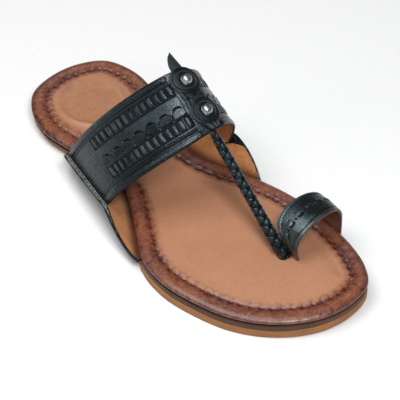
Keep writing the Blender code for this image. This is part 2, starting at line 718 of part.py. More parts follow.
def build_sandal():
    clear_scene()
    collection = bpy.data.collections.new("leather_sandal")
    bpy.context.scene.collection.children.link(collection)
    tan_rubber = make_material("tan_rubber", (0.46, 0.25, 0.10), 0.62)
    dark_board = make_material("dark_board", (0.10, 0.055, 0.035), 0.55)
    brown_leather = make_material("brown_leather", (0.50, 0.22, 0.11), 0.48)
    ear_leather = make_material("ear_leather", (0.030, 0.036, 0.038), 0.42)
    black_leather = make_material("black_leather", (0.018, 0.024, 0.027), 0.34)
    tab_leather = make_material("tab_leather", (0.022, 0.027, 0.028), 0.40)
    cord_leather = make_material("cord_leather", (0.014, 0.020, 0.024), 0.38)
    dark_metal = make_material("dark_metal", (0.10, 0.11, 0.12), 0.22, 1.0)
    make_outsole(tan_rubber, collection)
    make_midsole(dark_board, collection)
    make_footbed(brown_leather, collection)
    for name in EARS:
        make_ear(name, ear_leather, collection)
    make_strap(black_leather, collection)
    make_tab(tab_leather, collection)
    for name, share in ROSETTES.items():
        make_rosette("rosette_" + name, share, tab_leather, collection)
        make_rivet("rivet_" + name, share, dark_metal, collection)
    make_ring(black_leather, collection)
    make_braid(cord_leather, collection)


build_sandal()
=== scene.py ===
import json
import math
import bmesh
import bpy
import numpy as np
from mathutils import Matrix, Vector

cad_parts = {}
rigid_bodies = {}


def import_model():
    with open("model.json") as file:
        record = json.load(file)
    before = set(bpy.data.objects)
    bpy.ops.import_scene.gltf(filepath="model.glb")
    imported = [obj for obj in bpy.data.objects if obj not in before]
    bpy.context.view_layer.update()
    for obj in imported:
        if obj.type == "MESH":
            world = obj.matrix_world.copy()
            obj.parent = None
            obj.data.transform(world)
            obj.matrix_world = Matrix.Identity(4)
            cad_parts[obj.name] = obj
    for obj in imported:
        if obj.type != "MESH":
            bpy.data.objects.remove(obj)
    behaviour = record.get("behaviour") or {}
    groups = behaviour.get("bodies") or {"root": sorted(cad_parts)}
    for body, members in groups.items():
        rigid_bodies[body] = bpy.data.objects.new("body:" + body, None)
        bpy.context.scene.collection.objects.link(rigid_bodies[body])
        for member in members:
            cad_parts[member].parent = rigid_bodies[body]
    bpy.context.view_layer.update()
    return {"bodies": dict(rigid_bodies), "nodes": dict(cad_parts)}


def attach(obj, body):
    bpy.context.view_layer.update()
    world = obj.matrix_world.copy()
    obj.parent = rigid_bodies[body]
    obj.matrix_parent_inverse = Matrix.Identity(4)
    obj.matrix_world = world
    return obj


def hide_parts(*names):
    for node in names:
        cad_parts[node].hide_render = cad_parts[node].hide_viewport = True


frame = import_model()
print("frame loaded:", len(frame["nodes"]), "CAD nodes")

bodyName = list(frame["bodies"])[0]
dice = np.random.default_rng(20)
mm = 0.001

# The last that the whole sandal is made on, the same as the solids follow
last = dict(
    length=0.272, ball=0.1063, heelSeat=0.040,
    outsole=0.0055, midsole=0.0034, slot=0.0022, rim=0.0026, gap=0.0003, padding=0.0009,
    heelTuck=0.0050, tuckSpan=(0.28, 0.55), archLift=0.0012, archSpan=(0.31, 0.52),
    toeSpring=0.0015, springStart=0.86,
    heelBack=[(0.000, 0.052)],
    lateral=[
        (0.018, -0.139), (0.062, -0.240), (0.135, -0.308), (0.212, -0.299), (0.309, -0.266),
        (0.406, -0.291), (0.474, -0.390), (0.536, -0.497), (0.592, -0.588), (0.665, -0.627),
        (0.762, -0.599), (0.844, -0.532), (0.909, -0.425), (0.961, -0.282), (0.987, -0.161),
    ],
    toeTip=[(1.000, 0.000)],
    medial=[
        (0.986, 0.180), (0.945, 0.268), (0.891, 0.324), (0.828, 0.357), (0.761, 0.374),
        (0.694, 0.371), (0.630, 0.345), (0.565, 0.301), (0.513, 0.252), (0.449, 0.215),
        (0.397, 0.213), (0.316, 0.267), (0.250, 0.362), (0.189, 0.431), (0.117, 0.446),
        (0.050, 0.389), (0.016, 0.264),
    ],
)
slotFloor = last["outsole"] + last["gap"] + last["midsole"]
slotMiddle = slotFloor + last["slot"] / 2
rimTop = slotFloor + last["slot"] + last["rim"]
footbedTop = rimTop + last["padding"]


def place(across, station, height):
    return np.stack(np.broadcast_arrays(across, last["heelSeat"] - np.asarray(station), height), axis=-1)


def ease(value):
    value = np.clip(value, 0.0, 1.0)
    return value * value * (3.0 - 2.0 * value)


def hump(value, middle, reach):  # one soft bump, 1 in its middle and 0 from its reach on
    return ease(1.0 - np.abs(value - middle) / reach)


def smoothChain(points, closed=False, steps=16):
    knots = np.array(points, dtype=float)
    if closed:
        knots = np.vstack([knots[-1:], knots, knots[:2]])
    else:
        knots = np.vstack([2 * knots[0] - knots[1], knots, 2 * knots[-1] - knots[-2]])
    chords = np.maximum(np.linalg.norm(np.diff(knots, axis=0), axis=1)[:, None], 1e-9)
    slopes = np.diff(knots, axis=0) / chords
    tangents = (slopes[:-1] * chords[1:] + slopes[1:] * chords[:-1]) / (chords[:-1] + chords[1:])
    chain = []
    for index in range(1, len(knots) - 2):
        start, end, chord = knots[index], knots[index + 1], chords[index]
        for step in range(steps):
            t = step / steps
            chain.append(
                (1 + 2 * t) * (1 - t) ** 2 * start + t * (1 - t) ** 2 * chord * tangents[index - 1]
                + t * t * (3 - 2 * t) * end + t * t * (t - 1) * chord * tangents[index]
            )
    chain.append(knots[-2])
    return np.array(chain)


def walked(chain):  # the distance walked along a chain, up to each of its points
    return np.concatenate([[0.0], np.cumsum(np.linalg.norm(np.diff(chain, axis=0), axis=1))])


def evenChain(chain, count):
    lengths = walked(chain)
    wanted = np.linspace(0.0, lengths[-1], count)
    return np.column_stack([np.interp(wanted, lengths, chain[:, axis]) for axis in range(chain.shape[1])])


def unit(vectors):
    return vectors / np.maximum(np.linalg.norm(vectors, axis=-1, keepdims=True), 1e-12)


def footHalves():
    shares = last["heelBack"] + last["lateral"] + last["toeTip"] + last["medial"]
    points = [(across * last["ball"], along * last["length"]) for along, across in shares]
    chain = smoothChain(points, closed=True)
    toe = (len(last["lateral"]) + 1) * 16
    return evenChain(chain[:toe + 1], 400), evenChain(chain[toe:][::-1], 400)


lateralHalf, medialHalf = footHalves()


def footOutline(count):  # points round the footbed from the heel, and the way out at each
    ring = evenChain(np.vstack([lateralHalf, medialHalf[-2::-1]]), count + 1)[:-1]
    along = np.roll(ring, -1, axis=0) - np.roll(ring, 1, axis=0)
    return ring, unit(np.column_stack([-along[:, 1], along[:, 0]]))


def edgeAt(side, station):  # a point of the footbed's edge in the slot, and the way out there
    half = lateralHalf if side < 0 else medialHalf
    reach = 0.004
    across, ahead, behind = (
        np.interp(station + step, half[:, 1], half[:, 0]) for step in (0.0, reach, -reach)
    )
    outward = np.stack(np.broadcast_arrays(2 * reach, ahead - behind, 0.0), axis=-1)
    return place(across, station, slotMiddle), unit(outward) * side


def spanShare(station, span):
    return np.clip((station / last["length"] - span[0]) / (span[1] - span[0]), 0.0, 1.0)


def heelTuckAt(station):
    return last["heelTuck"] * (1.0 - ease(spanShare(station, last["tuckSpan"])))


def soleLift(station):
    return last["toeSpring"] * spanShare(station, (last["springStart"], 1.0)) ** 2


# workshop helpers

def deselectAll():
    if bpy.context.object and bpy.context.object.mode != "OBJECT":
        bpy.ops.object.mode_set(mode="OBJECT")
    bpy.ops.object.select_all(action="DESELECT")


def pickOnly(piece):
    deselectAll()
    piece.select_set(True)
    bpy.context.view_layer.objects.active = piece


def editOn(piece, mode="FACE"):
    pickOnly(piece)
    bpy.ops.object.mode_set(mode="EDIT")
    bpy.ops.mesh.select_mode(type=mode)
    bpy.ops.mesh.select_all(action="DESELECT")


def editOff():
    bpy.ops.object.mode_set(mode="OBJECT")


def chooseFaces(piece, wanted):  # selects the faces whose middle and normal pass the test
    work = bmesh.from_edit_mesh(piece.data)
    for face in work.faces:
        face.select_set(bool(wanted(face.calc_center_median(), face.normal)))
    bmesh.update_edit_mesh(piece.data)


def putPoints(piece, points):
    piece.data.vertices.foreach_set("co", np.asarray(points, dtype=np.float32).ravel())
    piece.data.update()


def getPoints(piece):
    points = np.empty(len(piece.data.vertices) * 3, dtype=np.float32)
    piece.data.vertices.foreach_get("co", points)
    return points.reshape(-1, 3).astype(float)


def paint(piece, name, values):  # a named value at each vertex, for the materials
    layer = piece.data.attributes.new(name, "FLOAT", "POINT")
    layer.data.foreach_set("value", np.asarray(values, dtype=np.float32).ravel())


def gridPiece(name, points):  # a flat grid that is bent to rows and columns of points
    rows, columns = points.shape[:2]
    deselectAll()
    bpy.ops.mesh.primitive_grid_add(x_subdivisions=columns - 1, y_subdivisions=rows - 1, size=0.1)
    piece = bpy.context.object
    piece.name = name
    putPoints(piece, points.reshape(-1, 3))
    return piece


def weld(piece, distance=0.00001):  # joins the rows that meet, and turns all faces outwards
    editOn(piece, "VERT")
    bpy.ops.mesh.select_all(action="SELECT")
    bpy.ops.mesh.remove_doubles(threshold=distance)
    bpy.ops.mesh.select_all(action="SELECT")
    bpy.ops.mesh.normals_make_consistent(inside=False)
    editOff()


def capHoles(piece):
    editOn(piece, "EDGE")
    bpy.ops.mesh.select_non_manifold(extend=False, use_wire=False, use_multi_face=False,
                                     use_non_contiguous=False, use_verts=False)
    bpy.ops.mesh.fill_holes(sides=0)
    bpy.ops.mesh.select_all(action="SELECT")
    bpy.ops.mesh.normals_make_consistent(inside=False)
    editOff()


def addModifier(piece, kind, **settings):
    pickOnly(piece)
    modifier = piece.modifiers.new(kind.lower(), kind)
    for setting, value in settings.items():
        setattr(modifier, setting, value)
    bpy.ops.object.modifier_apply(modifier=modifier.name)


def wrapPiece(name, bands):  # bands (points, tone, lining) lie side by side and close round into one skin
    skin = np.concatenate([band[0] for band in bands] + [bands[0][0][:, :1]], axis=1)
    piece = gridPiece(name, skin)
    for index, attribute in ((1, "tone"), (2, "lining")):
        values = [np.broadcast_to(band[index], band[0].shape[:2]) for band in bands]
        paint(piece, attribute, np.clip(np.concatenate(values + [values[0][:, :1]], axis=1), 0.0, 1.0))
    weld(piece)
    capHoles(piece)
    return piece


def lineInside(piece, leather, lining):  # faces painted as lining get the second material
    piece.data.materials.append(leather)
    piece.data.materials.append(lining)
    inside = np.empty(len(piece.data.vertices), dtype=np.float32)
    piece.data.attributes["lining"].data.foreach_get("value", inside)
    for face in piece.data.polygons:
        face.material_index = int(min(inside[vertex] for vertex in face.vertices) > 0.5)


def roundEdges(piece, width, segments=2, angle=50.0):
    addModifier(piece, "BEVEL", width=width, segments=segments, limit_method="ANGLE",
                angle_limit=math.radians(angle), harden_normals=False)


def joinPieces(name, pieces):
    deselectAll()
    for piece in pieces:
        piece.select_set(True)
    bpy.context.view_layer.objects.active = pieces[0]
    bpy.ops.object.join()
    pieces[0].name = name
    return pieces[0]


def finishPiece(piece, materials, nodes, sharp=38.0):
    for material in materials:
        if material.name not in piece.data.materials:
            piece.data.materials.append(material)
    pickOnly(piece)
    bpy.ops.object.shade_smooth_by_angle(angle=math.radians(sharp))
    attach(piece, bodyName)
    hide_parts(*nodes)
    print(piece.name, "done:", len(piece.data.polygons), "faces")
    return piece


# materials

def newMaterial(name):
    material = bpy.data.materials.new(name)
    material.use_nodes = True
    tree = material.node_tree
    shader = tree.nodes["Principled BSDF"]
    return material, tree, shader


def setShader(shader, **values):
    names = dict(roughness="Roughness", metallic="Metallic", coat="Coat Weight", coatRough="Coat Roughness",
                 specular="Specular IOR Level", tint="Specular Tint", sheen="Sheen Weight",
                 sheenRough="Sheen Roughness")
    for key, value in values.items():
        shader.inputs[names[key]].default_value = value


def objectSpace(tree):
    return tree.nodes.new("ShaderNodeTexCoord").outputs["Object"]


def noiseNode(tree, space, size, detail=3.0, rough=0.55, stretch=None):  # size of one patch in metres
    if stretch:
        mapping = tree.nodes.new("ShaderNodeMapping")
        mapping.inputs["Scale"].default_value = stretch
        tree.links.new(space, mapping.inputs["Vector"])
        space = mapping.outputs["Vector"]
    node = tree.nodes.new("ShaderNodeTexNoise")
    node.inputs["Scale"].default_value = 1.0 / size
    node.inputs["Detail"].default_value = detail
    node.inputs["Roughness"].default_value = rough
    tree.links.new(space, node.inputs["Vector"])
    return node.outputs["Fac"]


def cellNode(tree, space, size):
    node = tree.nodes.new("ShaderNodeTexVoronoi")
    node.inputs["Scale"].default_value = 1.0 / size
    tree.links.new(space, node.inputs["Vector"])
    return node.outputs["Distance"]


def painted(tree, name):
    node = tree.nodes.new("ShaderNodeAttribute")
    node.attribute_name = name
    return node.outputs["Fac"]


def ramp(tree, source, stops):  # stops: (position, grey value or colour)
    node = tree.nodes.new("ShaderNodeValToRGB")
    elements = node.color_ramp.elements
    while len(elements) < len(stops):
        elements.new(0.5)
    for element, (position, colour) in zip(elements, stops):
        element.position = position
        element.color = (colour, colour, colour, 1.0) if isinstance(colour, float) else (*colour, 1.0)
    tree.links.new(source, node.inputs["Fac"])
    return node.outputs["Color"]


def feed(tree, value, socket):
    if isinstance(value, (int, float)):
        socket.default_value = value
    elif isinstance(value, tuple):
        socket.default_value = (*value, 1.0)
    else:
        tree.links.new(value, socket)


def maths(tree, operation, first, second=0.0, clamp=False):
    node = tree.nodes.new("ShaderNodeMath")
    node.operation = operation
    node.use_clamp = clamp
    feed(tree, first, node.inputs[0])
    feed(tree, second, node.inputs[1])
    return node.outputs[0]


def mixed(tree, factor, first, second):
    node = tree.nodes.new("ShaderNodeMix")
    node.data_type = "RGBA"
    feed(tree, factor, node.inputs["Factor"])
    feed(tree, first, node.inputs["A"])
    feed(tree, second, node.inputs["B"])
    return node.outputs["Result"]


def bumps(tree, shader, layers):  # layers: (height, depth in metres), from the finest up
    normal = None
    for height, depth in layers:
        node = tree.nodes.new("ShaderNodeBump")
        node.inputs["Distance"].default_value = depth
        feed(tree, height, node.inputs["Height"])
        if normal is not None:
            tree.links.new(normal, node.inputs["Normal"])
        normal = node.outputs["Normal"]
    tree.links.new(normal, shader.inputs["Normal"])


# the worn colour is the lightest tone: partly real wear, partly painted highlight and reflection
blackLook = dict(deep=(0.0006, 0.0009, 0.0010), base=(0.0030, 0.0050, 0.0056), wornAndSheen=(0.017, 0.027, 0.033),
                 tint=(0.70, 0.90, 1.0, 1.0), grain=0.0007, pores=0.0022, patches=0.009)


def blackLeather(name, rough, coat, specular, relief=1.0, wornAndSheen=blackLook["wornAndSheen"]):
    material, tree, shader = newMaterial(name)
    space = objectSpace(tree)
    grain = cellNode(tree, space, blackLook["grain"])
    pores = noiseNode(tree, space, blackLook["pores"], 4.0, 0.62)
    patches = noiseNode(tree, space, blackLook["patches"], 3.0)
    tone = painted(tree, "tone")  # 0 in a cut, where shade is painted; 0.5 on plain leather; 1 on a crest, where a painted highlight lies over some wear
    base, deep = blackLook["base"], blackLook["deep"]
    drift = maths(tree, "MULTIPLY", maths(tree, "SUBTRACT", patches, 0.5), 0.5)
    stops = [(0.0, deep), (0.30, base), (0.60, base), (1.0, wornAndSheen)]
    colour = ramp(tree, maths(tree, "ADD", tone, drift), stops)
    feed(tree, mixed(tree, maths(tree, "MULTIPLY", pores, 0.35), colour, deep), shader.inputs["Base Color"])
    haze = maths(tree, "ADD", maths(tree, "MULTIPLY", pores, 0.5), maths(tree, "MULTIPLY", patches, 0.5))
    gloss = ramp(tree, haze, [(0.3, rough[0]), (0.7, rough[1])])
    feed(tree, mixed(tree, ramp(tree, tone, [(0.05, 1.0), (0.40, 0.0)]), gloss, (0.9, 0.9, 0.9)),
         shader.inputs["Roughness"])
    bumps(tree, shader, [(grain, 0.00012), (pores, 0.00034 * relief), (patches, 0.00050 * relief)])
    setShader(shader, coat=coat, coatRough=0.22, specular=specular, tint=blackLook["tint"])
    return material


brownLook = dict(field=(0.425, 0.194, 0.103), pale=(0.475, 0.234, 0.138), burnt=(0.205, 0.064, 0.031),
                 plum=(0.125, 0.041, 0.032), darkest=(0.042, 0.008, 0.005))


def footbedLeather():
    material, tree, shader = newMaterial("footbed_leather")
    space = objectSpace(tree)
    dyeAndShade = painted(tree, "dyeAndShade")
    mottle = noiseNode(tree, space, 0.0042, 5.0, 0.68)
    specks = noiseNode(tree, space, 0.0015, 3.0, 0.6)
    clouds = noiseNode(tree, space, 0.030, 3.0)
    pores = cellNode(tree, space, 0.0010)
    cloudy = ramp(tree, clouds, [(0.35, 0.0), (0.70, 0.60)])
    field = mixed(tree, cloudy, brownLook["field"], brownLook["pale"])
    field = mixed(tree, ramp(tree, specks, [(0.35, 0.14), (0.55, 0.0)]), field, brownLook["burnt"])
    reach = ramp(tree, dyeAndShade, [(0.02, 0.0), (0.25, 1.0)])
    crackle = maths(tree, "ADD", maths(tree, "MULTIPLY", mottle, 0.9), maths(tree, "MULTIPLY", specks, 0.8))
    spread = maths(tree, "SUBTRACT", crackle, 0.85)
    amount = maths(tree, "ADD", dyeAndShade, maths(tree, "MULTIPLY", spread, reach), clamp=True)
    # the rim's dye colours; the same mix also lies under the painted shade on the rim's underside
    shadeAndStain = mixed(tree, ramp(tree, clouds, [(0.40, 0.0), (0.62, 1.0)]), brownLook["burnt"], brownLook["plum"])
    colour = mixed(tree, ramp(tree, amount, [(0.08, 0.0), (0.72, 1.0)]), field, shadeAndStain)
    # the darkest brown, past 0.78: the rim's underside, a painted shade, and the deepest stitch dimples
    colour = mixed(tree, ramp(tree, amount, [(0.78, 0.0), (1.0, 0.90)]), colour, brownLook["darkest"])
    feed(tree, colour, shader.inputs["Base Color"])
    polish = maths(tree, "ADD", maths(tree, "MULTIPLY", dyeAndShade, 0.55), maths(tree, "MULTIPLY", specks, 0.45))
    feed(tree, ramp(tree, polish, [(0.15, 0.55), (0.70, 0.30)]), shader.inputs["Roughness"])
    wrinkle = maths(tree, "MULTIPLY", mottle, maths(tree, "ADD", dyeAndShade, 0.10))
    bumps(tree, shader, [(pores, 0.00008), (specks, 0.00010), (wrinkle, 0.00030)])
    setShader(shader, coat=0.14, coatRough=0.30, specular=0.5)
    return material


def suedeLining(name, colour, dark):
    material, tree, shader = newMaterial(name)
    space = objectSpace(tree)
    nap = noiseNode(tree, space, 0.0009, 4.0, 0.7)
    clouds = noiseNode(tree, space, 0.006, 4.0, 0.6)
    mixFactor = maths(tree, "ADD", maths(tree, "MULTIPLY", nap, 0.6), maths(tree, "MULTIPLY", clouds, 0.5))
    # painted shade where the leather goes in under the footbed's rim
    shadeAndStain = ramp(tree, painted(tree, "tone"), [(0.0, 0.92), (0.5, 0.0)])
    suede = ramp(tree, mixFactor, [(0.35, dark), (0.70, colour)])
    feed(tree, mixed(tree, shadeAndStain, suede, brownLook["darkest"]), shader.inputs["Base Color"])
    bumps(tree, shader, [(nap, 0.00035), (clouds, 0.00045)])
    setShader(shader, roughness=0.86, specular=0.20, sheen=0.08, sheenRough=0.5)
    return material


def soleSheet(name, colour, dark, layer, rough):
    material, tree, shader = newMaterial(name)
    space = objectSpace(tree)
    streaks = noiseNode(tree, space, 0.0016, 4.0, 0.6, stretch=(0.10, 0.10, 1.0 / layer))
    crumb = noiseNode(tree, space, 0.0011, 3.0, 0.65)
    stains = noiseNode(tree, space, 0.016, 3.0)
    tint = maths(tree, "ADD", maths(tree, "MULTIPLY", streaks, 0.55), maths(tree, "MULTIPLY", stains, 0.45))
    base = ramp(tree, tint, [(0.32, dark), (0.68, colour)])
    feed(tree, mixed(tree, maths(tree, "MULTIPLY", crumb, 0.30), base, dark), shader.inputs["Base Color"])
    feed(tree, ramp(tree, crumb, [(0.3, rough), (0.7, rough + 0.16)]), shader.inputs["Roughness"])
    bumps(tree, shader, [(crumb, 0.00014), (streaks, 0.00022)])
    setShader(shader, specular=0.25)
    return material


def gunmetal():
    material, tree, shader = newMaterial("gunmetal_dome")
    space = objectSpace(tree)
    haze = noiseNode(tree, space, 0.0020, 4.0, 0.6)
    silver = ramp(tree, haze, [(0.35, (0.30, 0.33, 0.35)), (0.70, (0.48, 0.51, 0.54))])
    feed(tree, silver, shader.inputs["Base Color"])
    feed(tree, ramp(tree, haze, [(0.30, 0.28), (0.70, 0.42)]), shader.inputs["Roughness"])
    bumps(tree, shader, [(noiseNode(tree, space, 0.0008, 3.0), 0.00003)])
    setShader(shader, metallic=1.0)
    return material


def floorPaper():
    material, tree, shader = newMaterial("studio_paper")
    fibre = noiseNode(tree, objectSpace(tree), 0.004, 3.0)
    feed(tree, ramp(tree, fibre, [(0.3, 0.86), (0.7, 0.88)]), shader.inputs["Base Color"])
    setShader(shader, roughness=0.9, specular=0.1)
    return material


# the last colour of each leather is its lightest tone, used for wear and for painted highlights and
# reflections on crests and lips
strapLeather = blackLeather("woven_black_leather", (0.16, 0.32), 0.12, 0.36, 0.9, (0.038, 0.054, 0.062))
earLeather = blackLeather("ear_black_leather", (0.26, 0.44), 0.10, 0.34, 0.5, (0.340, 0.350, 0.340))
tabLeather = blackLeather("tab_black_leather", (0.42, 0.60), 0.04, 0.32, 0.8, (0.055, 0.074, 0.068))
rosetteLeather = blackLeather("rosette_black_leather", (0.34, 0.52), 0.06, 0.32, 0.5, (0.110, 0.130, 0.130))
ringLeather = blackLeather("ring_black_leather", (0.16, 0.30), 0.28, 0.55, 0.35, (0.042, 0.057, 0.063))
cordLeather = blackLeather("plaited_black_leather", (0.24, 0.42), 0.10, 0.36, 0.5)
brownLeather = footbedLeather()
tanLining = suedeLining("tan_suede_lining", (0.54, 0.235, 0.088), (0.30, 0.112, 0.042))
brownLining = suedeLining("brown_ring_lining", (0.24, 0.085, 0.040), (0.10, 0.030, 0.016))
tanSheet = soleSheet("tan_outsole_sheet", (0.40, 0.175, 0.060), (0.23, 0.092, 0.032), 0.9, 0.50)
darkBoard = soleSheet("dark_midsole_board", (0.120, 0.060, 0.038), (0.052, 0.024, 0.015), 0.7, 0.46)
domeMetal = gunmetal()
print("materials ready")

# sole: two sheets cut to the foot, stacked with a slot under the footbed's rim

sheetCut = dict(points=320, outsoleChamfer=0.0010, midsoleBack=0.0004, midsoleRound=0.0006)


def soleSheetPiece(name, bottom, top, inset, rounding, shapedFloor):
    ring, outward = footOutline(sheetCut["points"])
    deselectAll()
    bpy.ops.mesh.primitive_circle_add(vertices=sheetCut["points"], radius=0.05, fill_type="NGON")
    piece = bpy.context.object
    piece.name = name
    putPoints(piece, place(ring[:, 0], ring[:, 1], np.full(len(ring), bottom)))
    editOn(piece)
    bpy.ops.mesh.select_all(action="SELECT")
    bpy.ops.mesh.extrude_region_move(TRANSFORM_OT_translate={"value": (0.0, 0.0, top - bottom)})
    bpy.ops.mesh.select_all(action="SELECT")
    bpy.ops.mesh.normals_make_consistent(inside=False)
    editOff()
    roundEdges(piece, rounding, 3, 60.0)
    points = getPoints(piece)
    station = last["heelSeat"] - points[:, 1]
    reach = (points[:, 0][:, None] - ring[:, 0]) ** 2 + (station[:, None] - ring[:, 1]) ** 2
    nearest = np.argmin(reach, axis=1)
    back = inset + heelTuckAt(station) * np.clip(1.0 - points[:, 2] / slotFloor, 0.0, 1.0)
    points[:, 0] -= outward[nearest, 0] * back
    points[:, 1] += outward[nearest, 1] * back
    points[:, 2] += soleLift(station)
    if shapedFloor:
        arch = last["archLift"] * np.sin(np.pi * spanShare(station, last["archSpan"])) ** 2
        points[:, 2] += arch * (points[:, 2] < bottom + rounding * 1.5)
    putPoints(piece, points)
    return piece


outsole = soleSheetPiece("outsole_sheet", 0.0, last["outsole"], 0.0, sheetCut["outsoleChamfer"], True)
finishPiece(outsole, [tanSheet], ["outsole"])
midsole = soleSheetPiece("midsole_board", last["outsole"] + last["gap"], slotFloor, sheetCut["midsoleBack"],
                         sheetCut["midsoleRound"], False)
finishPiece(midsole, [darkBoard], ["midsole"])

# footbed: a rolled rim over the slot, a stitched groove and a padded field with a pressed oval

footbedCut = dict(
    around=720, overhang=0.0070, core=0.0003, stitch=0.0070, groove=0.0100, grooveHalf=0.0024,
    grooveDepth=0.0005, dimple=0.0006, field=0.0170, crown=0.0006, padStart=0.0158, padRise=0.0080,
    ripple=0.00018, fieldColumns=56,
    # the rolled edge: (in from the edge, over the slot's top), then (in from the edge, over the rim's top)
    lip=[(0.0014, 0.0), (0.0005, 0.0002), (0.0001, 0.0007), (0.0, 0.0013)],
    shoulder=[(0.0002, -0.0006), (0.0006, -0.0002), (0.0012, 0.0001)],
    rings=[(0.0020, 0.0075, 0.0009), (0.0078, 0.0128, 0.0005), (0.0132, 0.0171, 0.00085)],
    oval=dict(across=0.0065, station=0.0375, halfAcross=0.0215, halfAlong=0.0240, ridge=0.0012, width=0.0022,
              sunk=0.0007, slope=0.0040, end=0.060, endFade=0.012),
)

rimRoll = dict(  # the rim's top in mm, by the mm in from the edge
    rise=0.95, riseEnd=3.6, dip=0.55, dipStart=4.2, dipLength=3.8, pad=0.60, padStart=10.6, padLength=5.0,
    pucker=0.12, puckerOut=6.6, puckerIn=13.2,
)

rimDye = dict(  # how dark the rim's brown is, 0 on the field and 1 at its darkest, by the mm in from the edge: mostly dye, with a painted shade under the rim and a painted highlight on the puckers
    rim=0.80, rimEnd=9.0, fade=7.5, paler=0.20, palerAt=4.5, palerHalf=3.8, shadeUnderRim=0.92,
    seam=0.06, dimple=0.28, seamHalf=1.4, cloud=0.06, cloudEnd=14.0, pucker=0.18, puckerAt=12.0,
    heelEnd=0.085, heelFade=0.035, heelBand=0.26, heelBandStart=10.0, heelBandFade=11.0, heelOval=0.17,
    heelEdge=0.14, heelEdgeEnd=3.2, heelRubbed=0.10, heelRubbedAt=7.0, heelRubbedHalf=4.5,
)


def rimHeight(inset, walk):  # height above the rim's corner, by the distance in from the edge
    cut, roll, d = footbedCut, rimRoll, inset / mm
    groove, half = cut["groove"] / mm, cut["grooveHalf"] / mm
    rise = roll["rise"] * ease(d / roll["riseEnd"])
    rise -= roll["dip"] * ease((d - roll["dipStart"]) / roll["dipLength"])
    rise += roll["pad"] * ease((d - roll["padStart"]) / roll["padLength"])
    beat = np.cos(2 * math.pi * walk / cut["stitch"])
    rise -= (cut["grooveDepth"] + cut["dimple"] * (0.5 + 0.5 * beat) ** 3) / mm * hump(d, groove, half)
    rise += roll["pucker"] * beat * (hump(d, roll["puckerOut"], half) - hump(d, roll["puckerIn"], half))
    return rise * mm


def fieldHeight(points):  # how high the pad is at each point, and whether the point is in the oval
    cut, oval = footbedCut, footbedCut["oval"]
    across, station = points[:, 0], last["heelSeat"] - points[:, 1]
    reach = np.hypot((across - oval["across"]) / oval["halfAcross"],
                     (station - oval["station"]) / oval["halfAlong"])
    away = (reach - 1.0) * oval["halfAcross"]
    fade = 1.0 - ease((station - oval["end"]) / oval["endFade"])
    ridge = oval["ridge"] * np.exp(-(away / oval["width"]) ** 2) * fade
    sunk = oval["sunk"] * ease(-away / oval["slope"]) * fade
    ripple = cut["ripple"] * np.sin(across * 95.0 + station * 40.0) * np.sin(station * 70.0 + 1.0)
    inOval = (ease((mm - away) / oval["slope"]) - 0.6 * ridge / oval["ridge"]) * fade
    return cut["crown"] + ridge - sunk + ripple, inOval


def dyeAndShadeAt(points, away, beat, inOval):
    dye, d, groove = rimDye, away / mm, footbedCut["groove"] / mm
    across, station = points[:, 0], last["heelSeat"] - points[:, 1]
    cloud = 0.5 + 0.5 * np.sin(station * 800.0) * np.sin(across * 700.0)
    outer = dye["rim"] - dye["paler"] * hump(d, dye["palerAt"], dye["palerHalf"])
    inner = dye["rim"] * (1 - ease((d - dye["rimEnd"]) / dye["fade"]))
    dyeAndShade = np.where(d < dye["rimEnd"], outer, inner) + dye["cloud"] * cloud * (d < dye["cloudEnd"])
    dyeAndShade += (dye["seam"] + dye["dimple"] * (0.5 + 0.5 * beat) ** 2) * hump(d, groove, dye["seamHalf"])
    # painted highlight: the raised puckers between stitches are painted paler
    dyeAndShade -= dye["pucker"] * (0.5 - 0.5 * beat) * hump(d, dye["puckerAt"], footbedCut["grooveHalf"] / mm)
    band = ease((d - dye["heelBandStart"]) / 4.0) * (1 - ease((d - 11.0) / dye["heelBandFade"]))
    heel = dye["heelBand"] * band + dye["heelOval"] * inOval
    heel += dye["heelEdge"] * ease((dye["heelEdgeEnd"] - d) / 2.0)
    heel -= dye["heelRubbed"] * hump(d, dye["heelRubbedAt"], dye["heelRubbedHalf"])
    return dyeAndShade + heel * ease((dye["heelEnd"] - station) / dye["heelFade"])


